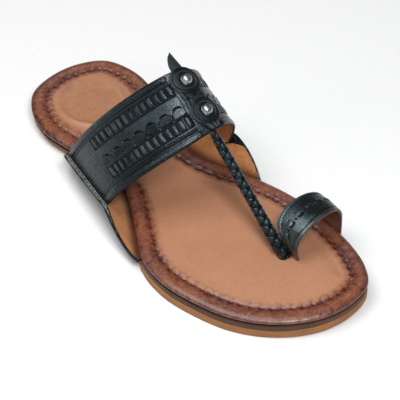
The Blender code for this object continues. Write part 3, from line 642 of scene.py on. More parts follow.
def makeFootbed():
    cut = footbedCut
    ring, outward = footOutline(cut["around"])
    walk = walked(np.vstack([ring, ring[:1]]))
    stitches = round(walk[-2] / cut["stitch"])
    walk = walk[:-1] / walk[-1] * stitches * cut["stitch"]
    under = slotFloor + last["slot"]
    profile = [(cut["overhang"], slotFloor + cut["core"]), (cut["overhang"], under)]
    profile += [(inset, under + rise) for inset, rise in cut["lip"]]
    profile += [(inset, rimTop + rise) for inset, rise in cut["shoulder"]]
    for span in cut["rings"]:
        profile += [(inset, rimTop + rimHeight(inset, walk)) for inset in np.arange(*span)]
    lines = [place(ring[:, 0] - outward[:, 0] * inset, ring[:, 1] - outward[:, 1] * inset,
                   height + soleLift(ring[:, 1])) for inset, height in profile]
    points = np.array(lines)
    points = np.concatenate([points, points[:, :1]], axis=1)
    piece = gridPiece("padded_footbed", points)
    weld(piece)
    editOn(piece, "EDGE")  # the field is filled in as an even grid from the last ring inwards
    work = bmesh.from_edit_mesh(piece.data)
    for edge in work.edges:
        edge.select_set(edge.is_boundary and edge.verts[0].co.z > rimTop - 0.001)
    bmesh.update_edit_mesh(piece.data)
    bpy.ops.mesh.fill_grid(span=cut["fieldColumns"], offset=0, use_interp_simple=True)
    editOff()
    capHoles(piece)
    points = getPoints(piece)
    edge = place(ring[:, 0], ring[:, 1], 0.0)[:, :2]
    away, beat = np.empty(len(points)), np.empty(len(points))
    for start in range(0, len(points), 4000):  # how far in from the edge each point is, and its stitch
        part = slice(start, start + 4000)
        reach = np.linalg.norm(points[part, None, :2] - edge[None], axis=2)
        away[part] = reach.min(axis=1)
        beat[part] = np.cos(2 * math.pi * walk[reach.argmin(axis=1)] / cut["stitch"])
    onTop = points[:, 2] > rimTop - 0.0016
    lift, inOval = fieldHeight(points)
    points[:, 2] += ease((away - cut["padStart"]) / cut["padRise"]) * onTop * lift
    # the rim's underside and lower side take a painted shade
    dyeAndShade = np.where(onTop, dyeAndShadeAt(points, away, beat, inOval), rimDye["shadeUnderRim"])
    paint(piece, "dyeAndShade", np.clip(dyeAndShade, 0.0, 1.2))
    putPoints(piece, points)
    return piece


finishPiece(makeFootbed(), [brownLeather], ["footbed"])

# instep strap: cut flat by arc (along) and share (across), then bent over the instep

strapCut = dict(
    crownFront=0.0733, crownRear=0.0970, frontStation=0.1559, rearStation=0.1216, across=0.0015,
    tilt=math.radians(20.4), wall=0.0020, tuck=0.0030, paring=(25.0, 60.0, 90.0, 120.0, 155.0), pared=0.0005,
    rear=dict(lateral=0.397, medial=0.428, drop=0.911, skew=0.226, bow=-0.710),
    front=dict(lateral=0.540, medial=0.340, drop=0.734, skew=0.052, bow=-0.370),
    round=dict(lateral=1.7, medial=1.8),
    pitch=0.00467, slit=0.0013, plainMedial=0.0150, plainLateral=0.0200, tabShift=0.0027, tabHalf=0.0088,
    rows=520, columns=112, liningColumns=14,
)


def strapEdge(which, angle):
    cut, shape = strapCut, strapCut[which]
    height = cut["crownRear"] if which == "rear" else cut["crownFront"]
    station = cut["rearStation"] if which == "rear" else cut["frontStation"]
    medial = np.cos(angle) > 0.0
    power = 2.0 / np.where(medial, cut["round"]["medial"], cut["round"]["lateral"])
    span = np.where(medial, shape["medial"], shape["lateral"]) * last["ball"]
    offset = np.sign(np.cos(angle)) * span * np.abs(np.cos(angle)) ** power
    fall = shape["drop"] * height * (np.abs(np.sin(angle)) ** power - 1.0)
    share = offset / last["ball"]
    slide = last["ball"] * (shape["skew"] * share + shape["bow"] * share * share)
    level, steep = math.cos(cut["tilt"]), math.sin(cut["tilt"])
    return place(cut["across"] + offset, station + slide * level + fall * steep,
                 height - slide * steep + fall * level)


angles = np.linspace(0.0, math.pi, 2881)
middleLine = (strapEdge("rear", angles) + strapEdge("front", angles)) / 2
arcs = walked(middleLine)
strapLength = float(arcs[-1])
tabArc = float(np.interp(math.pi / 2, angles, arcs)) - strapCut["tabShift"]
crownWidth = float(np.linalg.norm(strapEdge("front", np.pi / 2) - strapEdge("rear", np.pi / 2)))

earCut = dict(
    wall=0.0017, seat=0.0008, root=0.0050, standoff=0.0012, nip=0.0012, lead=0.0060, rearRows=4, frontRows=9,
    # each side ends with how much painted reflection lightens the band by the strap's end: much on the
    # lateral ear, little on the medial one
    lateral=dict(side=-1, rear=0.222, front=0.588, bend=(0.522, -0.600, 0.130), lip=0.0030, clearance=0.0008,
                 paintedReflection=0.60),
    medial=dict(side=1, rear=0.258, front=0.600, bend=(0.545, 0.425, 0.260), lip=0.0058, clearance=0.0011,
                paintedReflection=0.12),
    # the last value on the next line is how far, in mm, the painted shade on the lining reaches up from the
    # root
    rows=240, linedColumns=11, bandColumns=14, seam=0.0012, hem=0.0009, shadeAndStain=8.0,
    dash=0.0040, dashLine=0.0011, dashHalf=0.95, dashDepth=0.60, lipRise=0.40, wave=0.10,
)


def earSection(name, foot):  # the ear's free edge over a point of the strap's end, and its slope there
    shape = earCut[name]
    edge, outward = edgeAt(shape["side"], last["heelSeat"] - foot[..., 1])
    leaving = edge + outward * earCut["standoff"]
    slope = unit(foot - leaving)
    inner = unit(np.cross(slope, np.cross(outward, (0.0, 0.0, 1.0))))
    inner = inner * np.sign(inner[..., 2:3])
    free = foot - inner * (earCut["seat"] + shape["clearance"]) + slope * shape["lip"]
    return free, unit(free - leaving)


def strapSkin(arc, share):  # the outer face, carried on under both seams along the ears
    arc, share = np.broadcast_arrays(np.asarray(arc, float), np.asarray(share, float))
    angle = np.interp(arc, arcs, angles)
    mix = share[..., None]
    skin = strapEdge("rear", angle) * (1 - mix) + strapEdge("front", angle) * mix
    below = np.maximum(-arc, 0.0)[..., None]
    beyond = np.maximum(arc - strapLength, 0.0)[..., None]
    if below.max() > 0.0:
        skin = skin - earSection("medial", skin)[1] * below
    if beyond.max() > 0.0:
        skin = skin - earSection("lateral", skin)[1] * beyond
    return skin


def strapNormal(arc, share):
    reach = 0.0012
    along = strapSkin(arc + reach, share) - strapSkin(arc - reach, share)
    width = strapSkin(arc, np.asarray(share) * 0.0 + 1.0) - strapSkin(arc, np.asarray(share) * 0.0)
    return unit(np.cross(along, width))


def onStrap(arc, share, lift):
    return strapSkin(arc, share) + strapNormal(arc, share) * np.asarray(lift)[..., None]


def blockRow(share, low, high, beats, heights, leans):
    # each woven block is crowned both ways, with a dark slit between it and the next
    phase = beats - np.floor(beats)
    which = np.clip(np.floor(beats).astype(int), 0, len(heights) - 1)
    slit = strapCut["slit"] / strapCut["pitch"]
    u = np.clip((phase - slit / 2) / (1 - slit), 0.0, 1.0) * 2 - 1
    v = np.clip((share - low) / (high - low), 0.0, 1.0) * 2 - 1
    inside = ease((1 - np.abs(u)) / 0.26) * ease((1 - np.abs(v)) / 0.18)
    crest = (0.55 + 0.45 * (1 - v * v)) * (0.62 + 0.38 * (1 - u * u)) * (1 + leans[which] * u - 0.10 * v)
    return inside * crest * heights[which]


strapTool = dict(  # the tooled face: shares run from the rear edge to the front one, heights are in mm
    # height, start and its slope, end and its slope
    borders=[(0.55, 0.004, 0.016, 0.080, 0.010), (0.50, 0.915, 0.012, 0.996, 0.016)],
    lines=[  # share, half width, height, tone; negative tone is painted shade in a tooled groove, positive tone a painted sheen on a raised cord or edge band
        (0.088, 0.008, -0.42, -0.50), (0.124, 0.008, -0.42, -0.50), (0.853, 0.008, -0.36, -0.50),
        (0.893, 0.009, -0.40, -0.50), (0.106, 0.012, 0.22, 0.22), (0.873, 0.012, 0.18, 0.0),
        (0.040, 0.032, 0.0, 0.20), (0.955, 0.030, 0.0, 0.18),
    ],
    blockRows=[(0.142, 0.318), (0.640, 0.812)], blockHeight=1.15, blockBase=0.62, margin=0.012,
    petalTop=0.478, petalDrop=0.055, petalEnd=0.628, petalHalf=0.00455, petalHeight=0.62,
    scallopHalf=0.00275, scallopDepth=1.0, valleyDepth=0.35, fieldStart=0.325, fieldRise=0.16,
)


def strapRelief(arc, share):  # height and tone (0 in a cut, 0.5 plain, 1 rubbed) of the tooled face
    cut, tool = strapCut, strapTool
    fromTab = np.abs(arc - tabArc) - cut["tabHalf"]
    first = tabArc - cut["tabHalf"] - 0.0002
    start = tabArc + cut["tabHalf"] + 0.0002
    beats = np.where(arc < tabArc, (first - arc) / cut["pitch"], (arc - start) / cut["pitch"])
    medialCount = int((first - cut["plainMedial"]) / cut["pitch"])
    lateralCount = int((strapLength - cut["plainLateral"] - start) / cut["pitch"])
    count = np.where(arc < tabArc, medialCount, lateralCount)
    woven = ((beats > 0) & (beats < count)).astype(float)
    rise = np.zeros_like(arc)
    tone = np.full_like(arc, 0.5)
    for height, low, lowSlope, high, highSlope in tool["borders"]:
        rise += height * ease((share - low) / lowSlope) * ease((high - share) / highSlope)
    for line, half, height, shade in tool["lines"]:
        stroke = hump(share, line, half)
        rise += height * stroke
        tone += shade * stroke
    # two rows of woven blocks; their tops get a painted highlight and their edges and slits a painted shade
    margin = tool["margin"]
    for low, high in tool["blockRows"]:
        depth = tool["blockHeight"]
        heights, leans = depth * dice.uniform(0.78, 1.12, 64), dice.uniform(-0.22, 0.22, 64)
        beat = np.where(arc < tabArc, beats + 0.04, beats)
        inRow = woven * (share > low - margin) * (share < high + margin)
        block = blockRow(share, low, high, beat, heights, leans)
        rim = inRow * ease((share - low + margin) / margin) * ease((high + margin - share) / margin)
        rise += rim * (block - tool["blockBase"])
        tone += rim * np.clip(block / depth * 1.35 - 0.78, -0.5, 0.45)
    # petals behind their scallop cuts, one to each pair of blocks
    pair = beats / 2
    a = np.abs(pair - np.floor(pair) - 0.5) * 2 * cut["pitch"]
    top = tool["petalTop"] + tool["petalDrop"] * (a / 0.0042) ** 2.2
    inPetals = ((pair > 0) & (pair < np.floor(count / 2))).astype(float)
    behind = (share - top) * crownWidth / mm  # mm past the cut, towards the toe
    petal = inPetals * ease(behind / 0.5) * ease((tool["petalEnd"] - share) / 0.030)
    arch = (1 - 0.45 * np.clip(behind / 6.0, 0, 1)) * ease((tool["petalHalf"] - a) / 0.0008)
    rise += petal * (tool["petalHeight"] * arch + 0.05)
    # painted highlight on each petal's raised lip just behind its cut
    tone += petal * 0.16 * hump(behind, 1.6, 2.2)
    scallop = inPetals * ease((tool["scallopHalf"] - a) / 0.0007) * hump(behind, -0.35, 0.62)
    rise -= tool["scallopDepth"] * scallop
    # painted shade in the scallop cuts
    tone -= 0.60 * scallop
    valley = inPetals * ease((0.0009 - cut["pitch"] + a) / 0.0006)  # between two petals
    valley = valley * ease((share - 0.535) / 0.020) * ease((tool["petalEnd"] + 0.002 - share) / 0.020)
    rise -= tool["valleyDepth"] * valley
    # painted shade in the hollows between petals
    tone -= 0.40 * valley
    # the smooth field between the first row and the petals is painted lighter, a painted sheen that is
    # strongest near the tab
    field = ease((share - tool["fieldStart"]) / 0.020) * ease((top - share) / 0.020)
    rise += tool["fieldRise"] * field
    tone += field * np.maximum(woven, 0.5) * (0.22 + 0.22 * ease((0.040 - fromTab) / 0.030))
    # relief fades at the tab and at the sewn ends
    fade = ease(fromTab / 0.0010)
    ends = ease((np.minimum(arc, strapLength - arc) + 0.001) / 0.004)
    rise = rise * fade * ends
    tone = 0.5 + (tone - 0.5) * ease(fromTab / 0.0006) * ends
    return rise * mm, np.clip(tone, 0.0, 1.0)


def makeStrap():
    cut = strapCut
    arc = np.concatenate([np.linspace(-cut["tuck"], 0.0, 5)[:-1], np.linspace(0.0, strapLength, cut["rows"]),
                          np.linspace(strapLength, strapLength + cut["tuck"], 5)[1:]])
    past = np.maximum(np.maximum(-arc, arc - strapLength), 0.0) / cut["tuck"]

    def strapGrid(shares, lifts):  # the tucked ends are cut narrower than the strap
        rows, columns = np.meshgrid(arc, shares, indexing="ij")
        columns = 0.5 + (columns - 0.5) * (1.0 - 0.16 * past)[:, None]
        return rows, columns, onStrap(rows, columns, lifts + 0.0 * columns)

    rows, columns, outer = strapGrid(np.linspace(0.0, 1.0, cut["columns"]), 0.0)
    rise, tone = strapRelief(rows, columns)
    outer = outer + strapNormal(rows, columns) * rise[..., None]
    turns = np.radians(cut["paring"])  # both edges are pared round
    sink = cut["wall"] / 2 * (np.cos(turns) - 1.0)
    bulge = cut["pared"] * np.sin(turns) / crownWidth
    frontEdge = strapGrid(1.0 + bulge, sink)[2]
    rearEdge = strapGrid(-bulge, sink)[2][:, ::-1]
    inner = strapGrid(np.linspace(1.0, 0.0, cut["liningColumns"]), -cut["wall"])[2]
    rawEdge = np.array([1.0, 1.0, 1.0, 1.0, 0.0])  # the cut leather shows tan along the rear edge
    piece = wrapPiece("woven_strap", [(outer, tone, 0.0), (frontEdge, 0.10, 0.0), (inner, 0.5, 1.0),
                                      (rearEdge, 0.6, rawEdge)])
    lineInside(piece, strapLeather, tanLining)
    return piece


finishPiece(makeStrap(), [strapLeather, tanLining], ["instep_strap"])

# ears: flaps that come out of the slot and flare up to carry the strap


def bendCurve(points, share):
    points = [np.asarray(point) for point in points]
    while len(points) > 1:
        points = [first * (1 - share) + second * share for first, second in zip(points, points[1:])]
    return points[0]


def earRows(name):
    shape = earCut[name]
    side, nip = shape["side"], earCut["standoff"] + earCut["nip"]
    shares = np.linspace(0.0, 1.0, 16)
    feet = strapSkin(0.0 if side > 0 else strapLength, shares)
    seam = earSection(name, feet)[0]
    start, outward = edgeAt(side, shape["rear"] * last["length"])
    start = start + outward * nip
    rearCurve = [start, start * 0.5 + seam[0] * 0.5 + outward * nip, seam[0]]
    end, outward = edgeAt(side, shape["front"] * last["length"])
    end = end + outward * nip
    along, across, height = shape["bend"]
    lead = seam[-1] + unit(seam[-1] - seam[-3]) * earCut["lead"]
    control = place(across * last["ball"], along * last["length"], height * strapCut["crownFront"])
    rows = []
    for step in range(earCut["rearRows"]):
        point = bendCurve(rearCurve, step / earCut["rearRows"])
        slip = (seam[0][1] - feet[0][1]) * step / earCut["rearRows"]
        sewn = 0.25 + 0.75 * step / earCut["rearRows"]
        rows.append((last["heelSeat"] - point[1] + slip, *point, sewn * mm))
    rows += [(last["heelSeat"] - foot[1], *point, mm) for foot, point in zip(feet, seam)]
    for step in range(earCut["frontRows"]):
        share = (step + 1) / earCut["frontRows"]
        point = bendCurve([seam[-1], lead, control, end], share)
        slip = (seam[-1][1] - feet[-1][1]) * (1 - share)
        rows.append((last["heelSeat"] - point[1] + slip, *point, max(0.0, 1.0 - share * 2.2) * mm))
    return evenChain(smoothChain(rows), earCut["rows"])


def makeEar(name):
    shape = earCut[name]
    side, rows = shape["side"], earRows(name)
    free = rows[:, 1:4].copy()
    free[:, 2] = np.maximum(free[:, 2], slotMiddle)
    sewn = np.clip(rows[:, 4] / mm, 0.0, 1.0)
    edge, outward = edgeAt(side, rows[:, 0])
    leaving = edge + outward * earCut["standoff"]
    root = edge - outward * earCut["root"]
    length = np.linalg.norm(free - leaving, axis=1)
    band = (shape["lip"] + earCut["seam"]) * sewn + earCut["hem"] * (1.0 - sewn)
    band = np.minimum(band, length * 0.6)
    lined, banded = earCut["linedColumns"], earCut["bandColumns"]
    lines = [root, root * 0.5 + leaving * 0.5, leaving]
    fromFree = [length, length, length]
    for share in np.linspace(0.0, 1.0, lined + 1)[1:]:
        at = share * (length - band) / length
        lines.append(leaving + (free - leaving) * at[:, None])
        fromFree.append(length * (1 - at))
    for share in np.linspace(0.0, 1.0, banded + 1)[1:]:
        at = 1 - band * (1 - share) / length
        lines.append(leaving + (free - leaving) * at[:, None])
        fromFree.append(band * (1 - share))
    sheet, fromFree = np.stack(lines, axis=1), np.stack(fromFree, axis=1)
    out = unit(np.gradient(sheet, axis=1))
    normal = unit(np.cross(unit(np.gradient(sheet, axis=0)), out))
    normal = normal * np.sign(normal[..., 2:3] + 1e-9)
    away = fromFree / mm
    walk = walked(free)[:, None] + 0.0 * away
    beat = walk / earCut["dash"]
    dashes = ease((0.36 - np.abs(beat - np.floor(beat) - 0.5)) / 0.06) * (sewn[:, None] > 0.6)
    cuts = dashes * hump(away, earCut["dashLine"] / mm, earCut["dashHalf"])
    shadow = hump(away, band[:, None] / mm - 0.7, 1.1) * sewn[:, None]  # a painted shadow along the seam under the strap's end
    wave = earCut["wave"] * np.sin(walk * 900.0) * ease((12.0 - away) / 12.0)
    lip = earCut["lipRise"] * ease((band[:, None] / mm - 0.8 - away) / 0.6) * sewn[:, None]
    rise = lip + wave - earCut["dashDepth"] * cuts
    half = earCut["wall"] / 2
    upper = sheet + normal * (half + rise * mm)[..., None]
    # painted reflection: the band by the strap's end is painted pale; the seam's painted shadow and the dash
    # cuts are dark
    tone = (0.50 + shape["paintedReflection"] * sewn)[:, None] - 1.3 * cuts - 1.3 * shadow
    nose = np.stack([free + normal[:, -1] * half * lift + out[:, -1] * reach * mm
                     for lift, reach in ((0.85, 0.25), (0.0, 0.45), (-0.75, 0.30))], axis=1)
    split = 3 + lined
    # painted shade on the lining near the root, where it runs in under the footbed's rim
    shadeAndStain = 0.5 * ease((length[:, None] - fromFree) / mm / earCut["shadeAndStain"])
    # the free edge's nose is painted paler where sewn, part of the same painted reflection
    piece = wrapPiece(name + "_ear", [
        (upper[:, :split], shadeAndStain[:, :split], 1.0), (upper[:, split:], tone[:, split:], 0.0),
        (nose, (0.40 + 0.25 * sewn)[:, None], 0.0), ((sheet - normal * half)[:, ::-1], 0.45, 0.0),
    ])
    lineInside(piece, earLeather, tanLining)
    return finishPiece(piece, [earLeather, tanLining], ["ear_" + name])


for earName in ("lateral", "medial"):
    makeEar(earName)

# crown tab with its thorn, two rosettes and their domes

tabCut = dict(
    wall=0.0013, half=0.0088, hornLength=0.0124, hornLean=0.0045, hornRise=0.0030, hornRidge=0.0011,
    punches=[(0.425, 0.0), (0.445, 0.0048), (0.445, -0.0048)], punch=0.0013,
    rows=[(0.010, 0.46), (0.060, 0.72), (0.115, 0.94), (0.170, 1.00), (0.240, 0.97), (0.330, 0.86),
          (0.430, 0.76), (0.530, 0.84), (0.620, 0.97), (0.700, 1.00), (0.780, 0.93), (0.860, 0.72),
          (0.930, 0.52), (0.985, 0.42)],
    horn=[(0.30, 0.40), (0.62, 0.26), (0.86, 0.13), (1.00, 0.03)],
    hornThin=0.45, columns=65, rounding=0.0003,
)

tabTool = dict(  # the tooled face, in mm and in shares of the tab's length and half width
    pleats=3.0, pleatStart=0.80, pleatHeight=0.55, pleatTone=0.35, plainEnd=0.84, swell=0.30,
    border=0.85, borderHalf=0.10, borderHeight=0.20, line=0.68, lineHalf=0.08, lineDepth=0.35, lineTone=0.25,
    punchHalf=0.7, punchDepth=0.8, tone=0.70, edge=0.88, edgeHalf=0.12, edgeTone=0.20,
)


def makeTab():
    cut, tool = tabCut, tabTool
    lift = last["gap"] + cut["wall"]
    table = smoothChain(cut["rows"], steps=12)
    column = np.linspace(-1.0, 1.0, cut["columns"])
    share, spread = np.meshgrid(table[:, 0], column, indexing="ij")
    half = np.repeat((table[:, 1] * cut["half"])[:, None], len(column), axis=1)
    pleats = np.cos(spread * math.pi * tool["pleats"]) * ease((share - tool["pleatStart"]) / 0.08)
    plain = ease((tool["plainEnd"] - share) / 0.05)
    line = hump(np.abs(spread), tool["line"], tool["lineHalf"]) * plain
    rise = tool["pleatHeight"] * pleats + tool["swell"] * (1 - np.abs(spread) ** 3)
    rise += tool["borderHeight"] * hump(np.abs(spread), tool["border"], tool["borderHalf"]) * plain
    rise -= tool["lineDepth"] * line
    punches = np.zeros_like(share)  # short punched dashes across the tab's waist
    for at, reach in cut["punches"]:
        dash = ease((cut["punch"] - np.abs(spread * half - reach)) / 0.0004)
        punches = np.maximum(punches, dash * hump((share - at) * crownWidth / mm, 0.0, tool["punchHalf"]))
    rise -= tool["punchDepth"] * punches
    top = onStrap(tabArc - spread * half, share, lift + rise * mm)
    base, middle = top[0], top[0][len(column) // 2]
    hornTable = smoothChain([(0.0, cut["rows"][0][1])] + cut["horn"], steps=9)[1:]
    rows = list(top)
    for reach, width in hornTable:  # the thorn is drawn out backwards from the tab's rear end
        centre = middle + np.array([cut["hornLean"] * reach ** 2, cut["hornLength"] * reach,
                                    cut["hornRise"] * math.sin(math.pi * 0.6 * reach)])
        row = centre + (base - middle) * (width / cut["rows"][0][1])
        row[:, 2] += cut["hornRidge"] * (1 - np.abs(column)) * (1 - reach * 0.5)
        rows.insert(0, row)
    upper = np.array(rows)
    thin = np.ones(len(upper))
    thin[:len(hornTable)] = np.linspace(cut["hornThin"], 1.0, len(hornTable))
    normal = unit(np.cross(unit(np.gradient(upper, axis=1)), unit(np.gradient(upper, axis=0))))
    normal = normal * np.sign(normal[..., 2:3])
    tone = np.full(upper.shape[:2], tool["tone"])
    tone[len(hornTable):] += tool["pleatTone"] * pleats - punches - tool["lineTone"] * line
    tone += tool["edgeTone"] * hump(np.abs(column), tool["edge"], tool["edgeHalf"])
    lower = upper - normal * (cut["wall"] * thin)[:, None, None]
    piece = wrapPiece("horn_tab", [(upper, tone, 0.0), (lower[:, ::-1], 0.4, 0.0)])
    roundEdges(piece, cut["rounding"], 2, 55.0)
    return finishPiece(piece, [tabLeather], ["crown_tab"])


makeTab()

rosetteCut = dict(radius=0.0085, thick=0.0012, points=72, rounding=0.00012,
                  rings=[(0.0009, 0.0), (0.0004, -0.0003), (0.0004, 0.0004), (0.0008, 0.0), (0.0004, -0.0004),
                         (0.0003, 0.0), (0.0004, 0.0005), (0.0009, 0.0), (0.0004, -0.0005), (0.0004, 0.0)],
                  # tone, radius and half width of each rubbed or dark ring, in mm
                  shades=[(0.45, 5.6, 0.9), (0.25, 8.1, 0.6), (-0.35, 3.9, 0.6)],
                  rear=0.183, front=0.705)
domeCut = dict(radius=0.0034, height=0.0026, collar=0.0005)


def bendOverCrown(piece, share, lift):  # carries a piece modelled flat at the origin onto the tab
    points = getPoints(piece)
    arc = tabArc + points[:, 0]
    putPoints(piece, onStrap(arc, share + points[:, 1] / crownWidth, lift + points[:, 2]))
    editOn(piece)
    bpy.ops.mesh.select_all(action="SELECT")
    bpy.ops.mesh.normals_make_consistent(inside=False)
    editOff()


def makeRosette(name, share):
    cut = rosetteCut
    deselectAll()
    bpy.ops.mesh.primitive_cylinder_add(vertices=cut["points"], radius=cut["radius"], depth=cut["thick"],
                                        location=(0.0, 0.0, cut["thick"] / 2))
    piece = bpy.context.object
    piece.name = name + "_rosette"
    bpy.ops.object.transform_apply(location=True, rotation=True, scale=True)
    editOn(piece)
    chooseFaces(piece, lambda centre, normal: normal.z > 0.9)
    for inward, depth in cut["rings"]:  # rings are pressed one inside the other
        bpy.ops.mesh.inset(thickness=inward, depth=0.0)
        if depth:
            bpy.ops.transform.translate(value=(0.0, 0.0, depth))
    editOff()
    roundEdges(piece, cut["rounding"], 2, 25.0)
    points = getPoints(piece)
    radius, height = np.hypot(points[:, 0], points[:, 1]) / mm, points[:, 2] / mm
    tone = 0.40 + (height - cut["thick"] / mm) * 0.45
    for shade, at, half in cut["shades"]:
        tone += shade * hump(radius, at, half)
    paint(piece, "tone", np.clip(tone, 0.0, 1.0))
    bendOverCrown(piece, share, last["gap"] * 2 + tabCut["wall"] + 0.00025)
    return finishPiece(piece, [rosetteLeather], ["rosette_" + name])


def makeDome(name, share):
    cut = domeCut
    deselectAll()
    bpy.ops.mesh.primitive_uv_sphere_add(segments=40, ring_count=24, radius=cut["radius"])
    piece = bpy.context.object
    piece.name = name + "_dome"
    editOn(piece)
    bpy.ops.mesh.select_all(action="SELECT")
    bpy.ops.mesh.bisect(plane_co=(0.0, 0.0, 0.0), plane_no=(0.0, 0.0, 1.0), clear_inner=True, use_fill=True)
    bpy.ops.mesh.select_all(action="SELECT")
    bpy.ops.transform.resize(value=(1.0, 1.0, cut["height"] / cut["radius"]), center_override=(0.0, 0.0, 0.0))
    chooseFaces(piece, lambda centre, normal: normal.z < -0.9)
    bpy.ops.mesh.extrude_region_move(TRANSFORM_OT_translate={"value": (0.0, 0.0, -cut["collar"])})
    bpy.ops.transform.resize(value=(1.12, 1.12, 1.0), center_override=(0.0, 0.0, 0.0))
    editOff()
    seat = onStrap(tabArc, share, last["gap"] * 2 + tabCut["wall"] + rosetteCut["thick"] + 0.0006)
    normal = Vector(strapNormal(np.array(tabArc), np.array(share)))
    piece.rotation_euler = normal.to_track_quat("Z", "Y").to_euler()
    piece.location = Vector(seat)
    pickOnly(piece)
    bpy.ops.object.transform_apply(location=True, rotation=True, scale=True)
    return finishPiece(piece, [domeMetal], ["rivet_" + name])


for rowName in ("rear", "front"):
    makeRosette(rowName, rosetteCut[rowName])
    makeDome(rowName, rosetteCut[rowName])

# toe ring: a narrow foot by the plait, a wide crown and a leg down into the slot

ringCut = dict(
    station=0.2185, band=0.0200, height=0.0415, wall=0.0016, root=0.0040, crowning=0.0007,
    rows=[  # across at the front and rear edge, height, station at the front and rear edge
        (0.022, 0.030, 0.00, 0.49, 0.20), (-0.025, -0.018, 0.26, 0.50, 0.10),
        (-0.030, -0.045, 0.52, 0.50, -0.08), (0.050, 0.020, 0.76, 0.50, -0.38),
        (0.230, 0.205, 0.93, 0.52, -0.50), (0.465, 0.440, 1.00, 0.54, -0.50),
        (0.680, 0.660, 0.97, 0.55, -0.44), (0.860, 0.845, 0.83, 0.54, -0.36),
        (0.960, 0.950, 0.58, 0.52, -0.30), (0.995, 0.995, 0.26, 0.50, -0.28),
        (1.000, 1.000, 0.00, 0.50, -0.28),
    ],
    samples=300, columns=91, legRows=14, rootRows=8, liningStep=6, pared=0.0004, crownRise=0.012, heart=0.55,
)

ringTool = dict(  # the tooled face, in mm; the row runs between two shares of the ring's length
    border=1.9, borderHeight=0.22, borderTone=0.26, line=2.5, lineHalf=0.42, lineDepth=0.30, lineTone=0.40,
    # the first three values on the next line place a painted highlight on the crown's outer slope: its
    # strength, where it is along the ring and its half width
    paler=0.36, palerAt=0.37, palerHalf=0.20, repeat=8.0, rowAt=0.47, rowStart=0.20, rowEnd=0.86,
    narrow=11.0, scallopBend=0.16, scallopWidth=2.4, scallopHalf=0.95, scallopDepth=1.10,
    dotRadius=0.55, dotDepth=0.90, puffAt=1.2, puffHalf=2.2, puffHeight=0.30, puffTone=0.15,
)


def ringLeg(station):
    return edgeAt(1, station)[0][..., 0] + last["gap"] + ringCut["wall"]


def ringRelief(share, walk, total, breadth):  # height in mm and tone: a border, a line and a punched row
    tool = ringTool
    fromEdge = np.minimum(share, 1 - share) * breadth / mm
    line = hump(fromEdge, tool["line"], tool["lineHalf"])
    rise = tool["borderHeight"] * ease((tool["border"] - fromEdge) / 0.4) - tool["lineDepth"] * line
    tone = 0.5 + tool["borderTone"] * ease((tool["border"] - fromEdge) / 0.5) - tool["lineTone"] * line
    # painted highlight: paler where the crown leans to the outer side
    tone += tool["paler"] * hump(walk / total, tool["palerAt"], tool["palerHalf"])
    a = ((walk - total * tool["rowAt"]) / (tool["repeat"] * mm) % 1.0 - 0.5) * tool["repeat"]
    v = (share - 0.50) * breadth / mm
    inRow = ((walk > total * tool["rowStart"]) & (walk < total * tool["rowEnd"])).astype(float)
    inRow = inRow * ease((breadth / mm - tool["narrow"]) / 4)
    arch = hump(v + 1.0 - tool["scallopBend"] * a * a, 0.0, tool["scallopHalf"])
    scallop = inRow * arch * ease((tool["scallopWidth"] - np.abs(a)) / 0.4)
    dot = inRow * ease(1.6 - np.hypot(np.abs(a) - tool["repeat"] / 2, v) / tool["dotRadius"])
    puff = inRow * hump(v, tool["puffAt"], tool["puffHalf"]) * ease(2.6 - np.abs(a))
    rise = rise - tool["scallopDepth"] * scallop - tool["dotDepth"] * dot + tool["puffHeight"] * puff
    return rise, tone - scallop - dot + tool["puffTone"] * puff


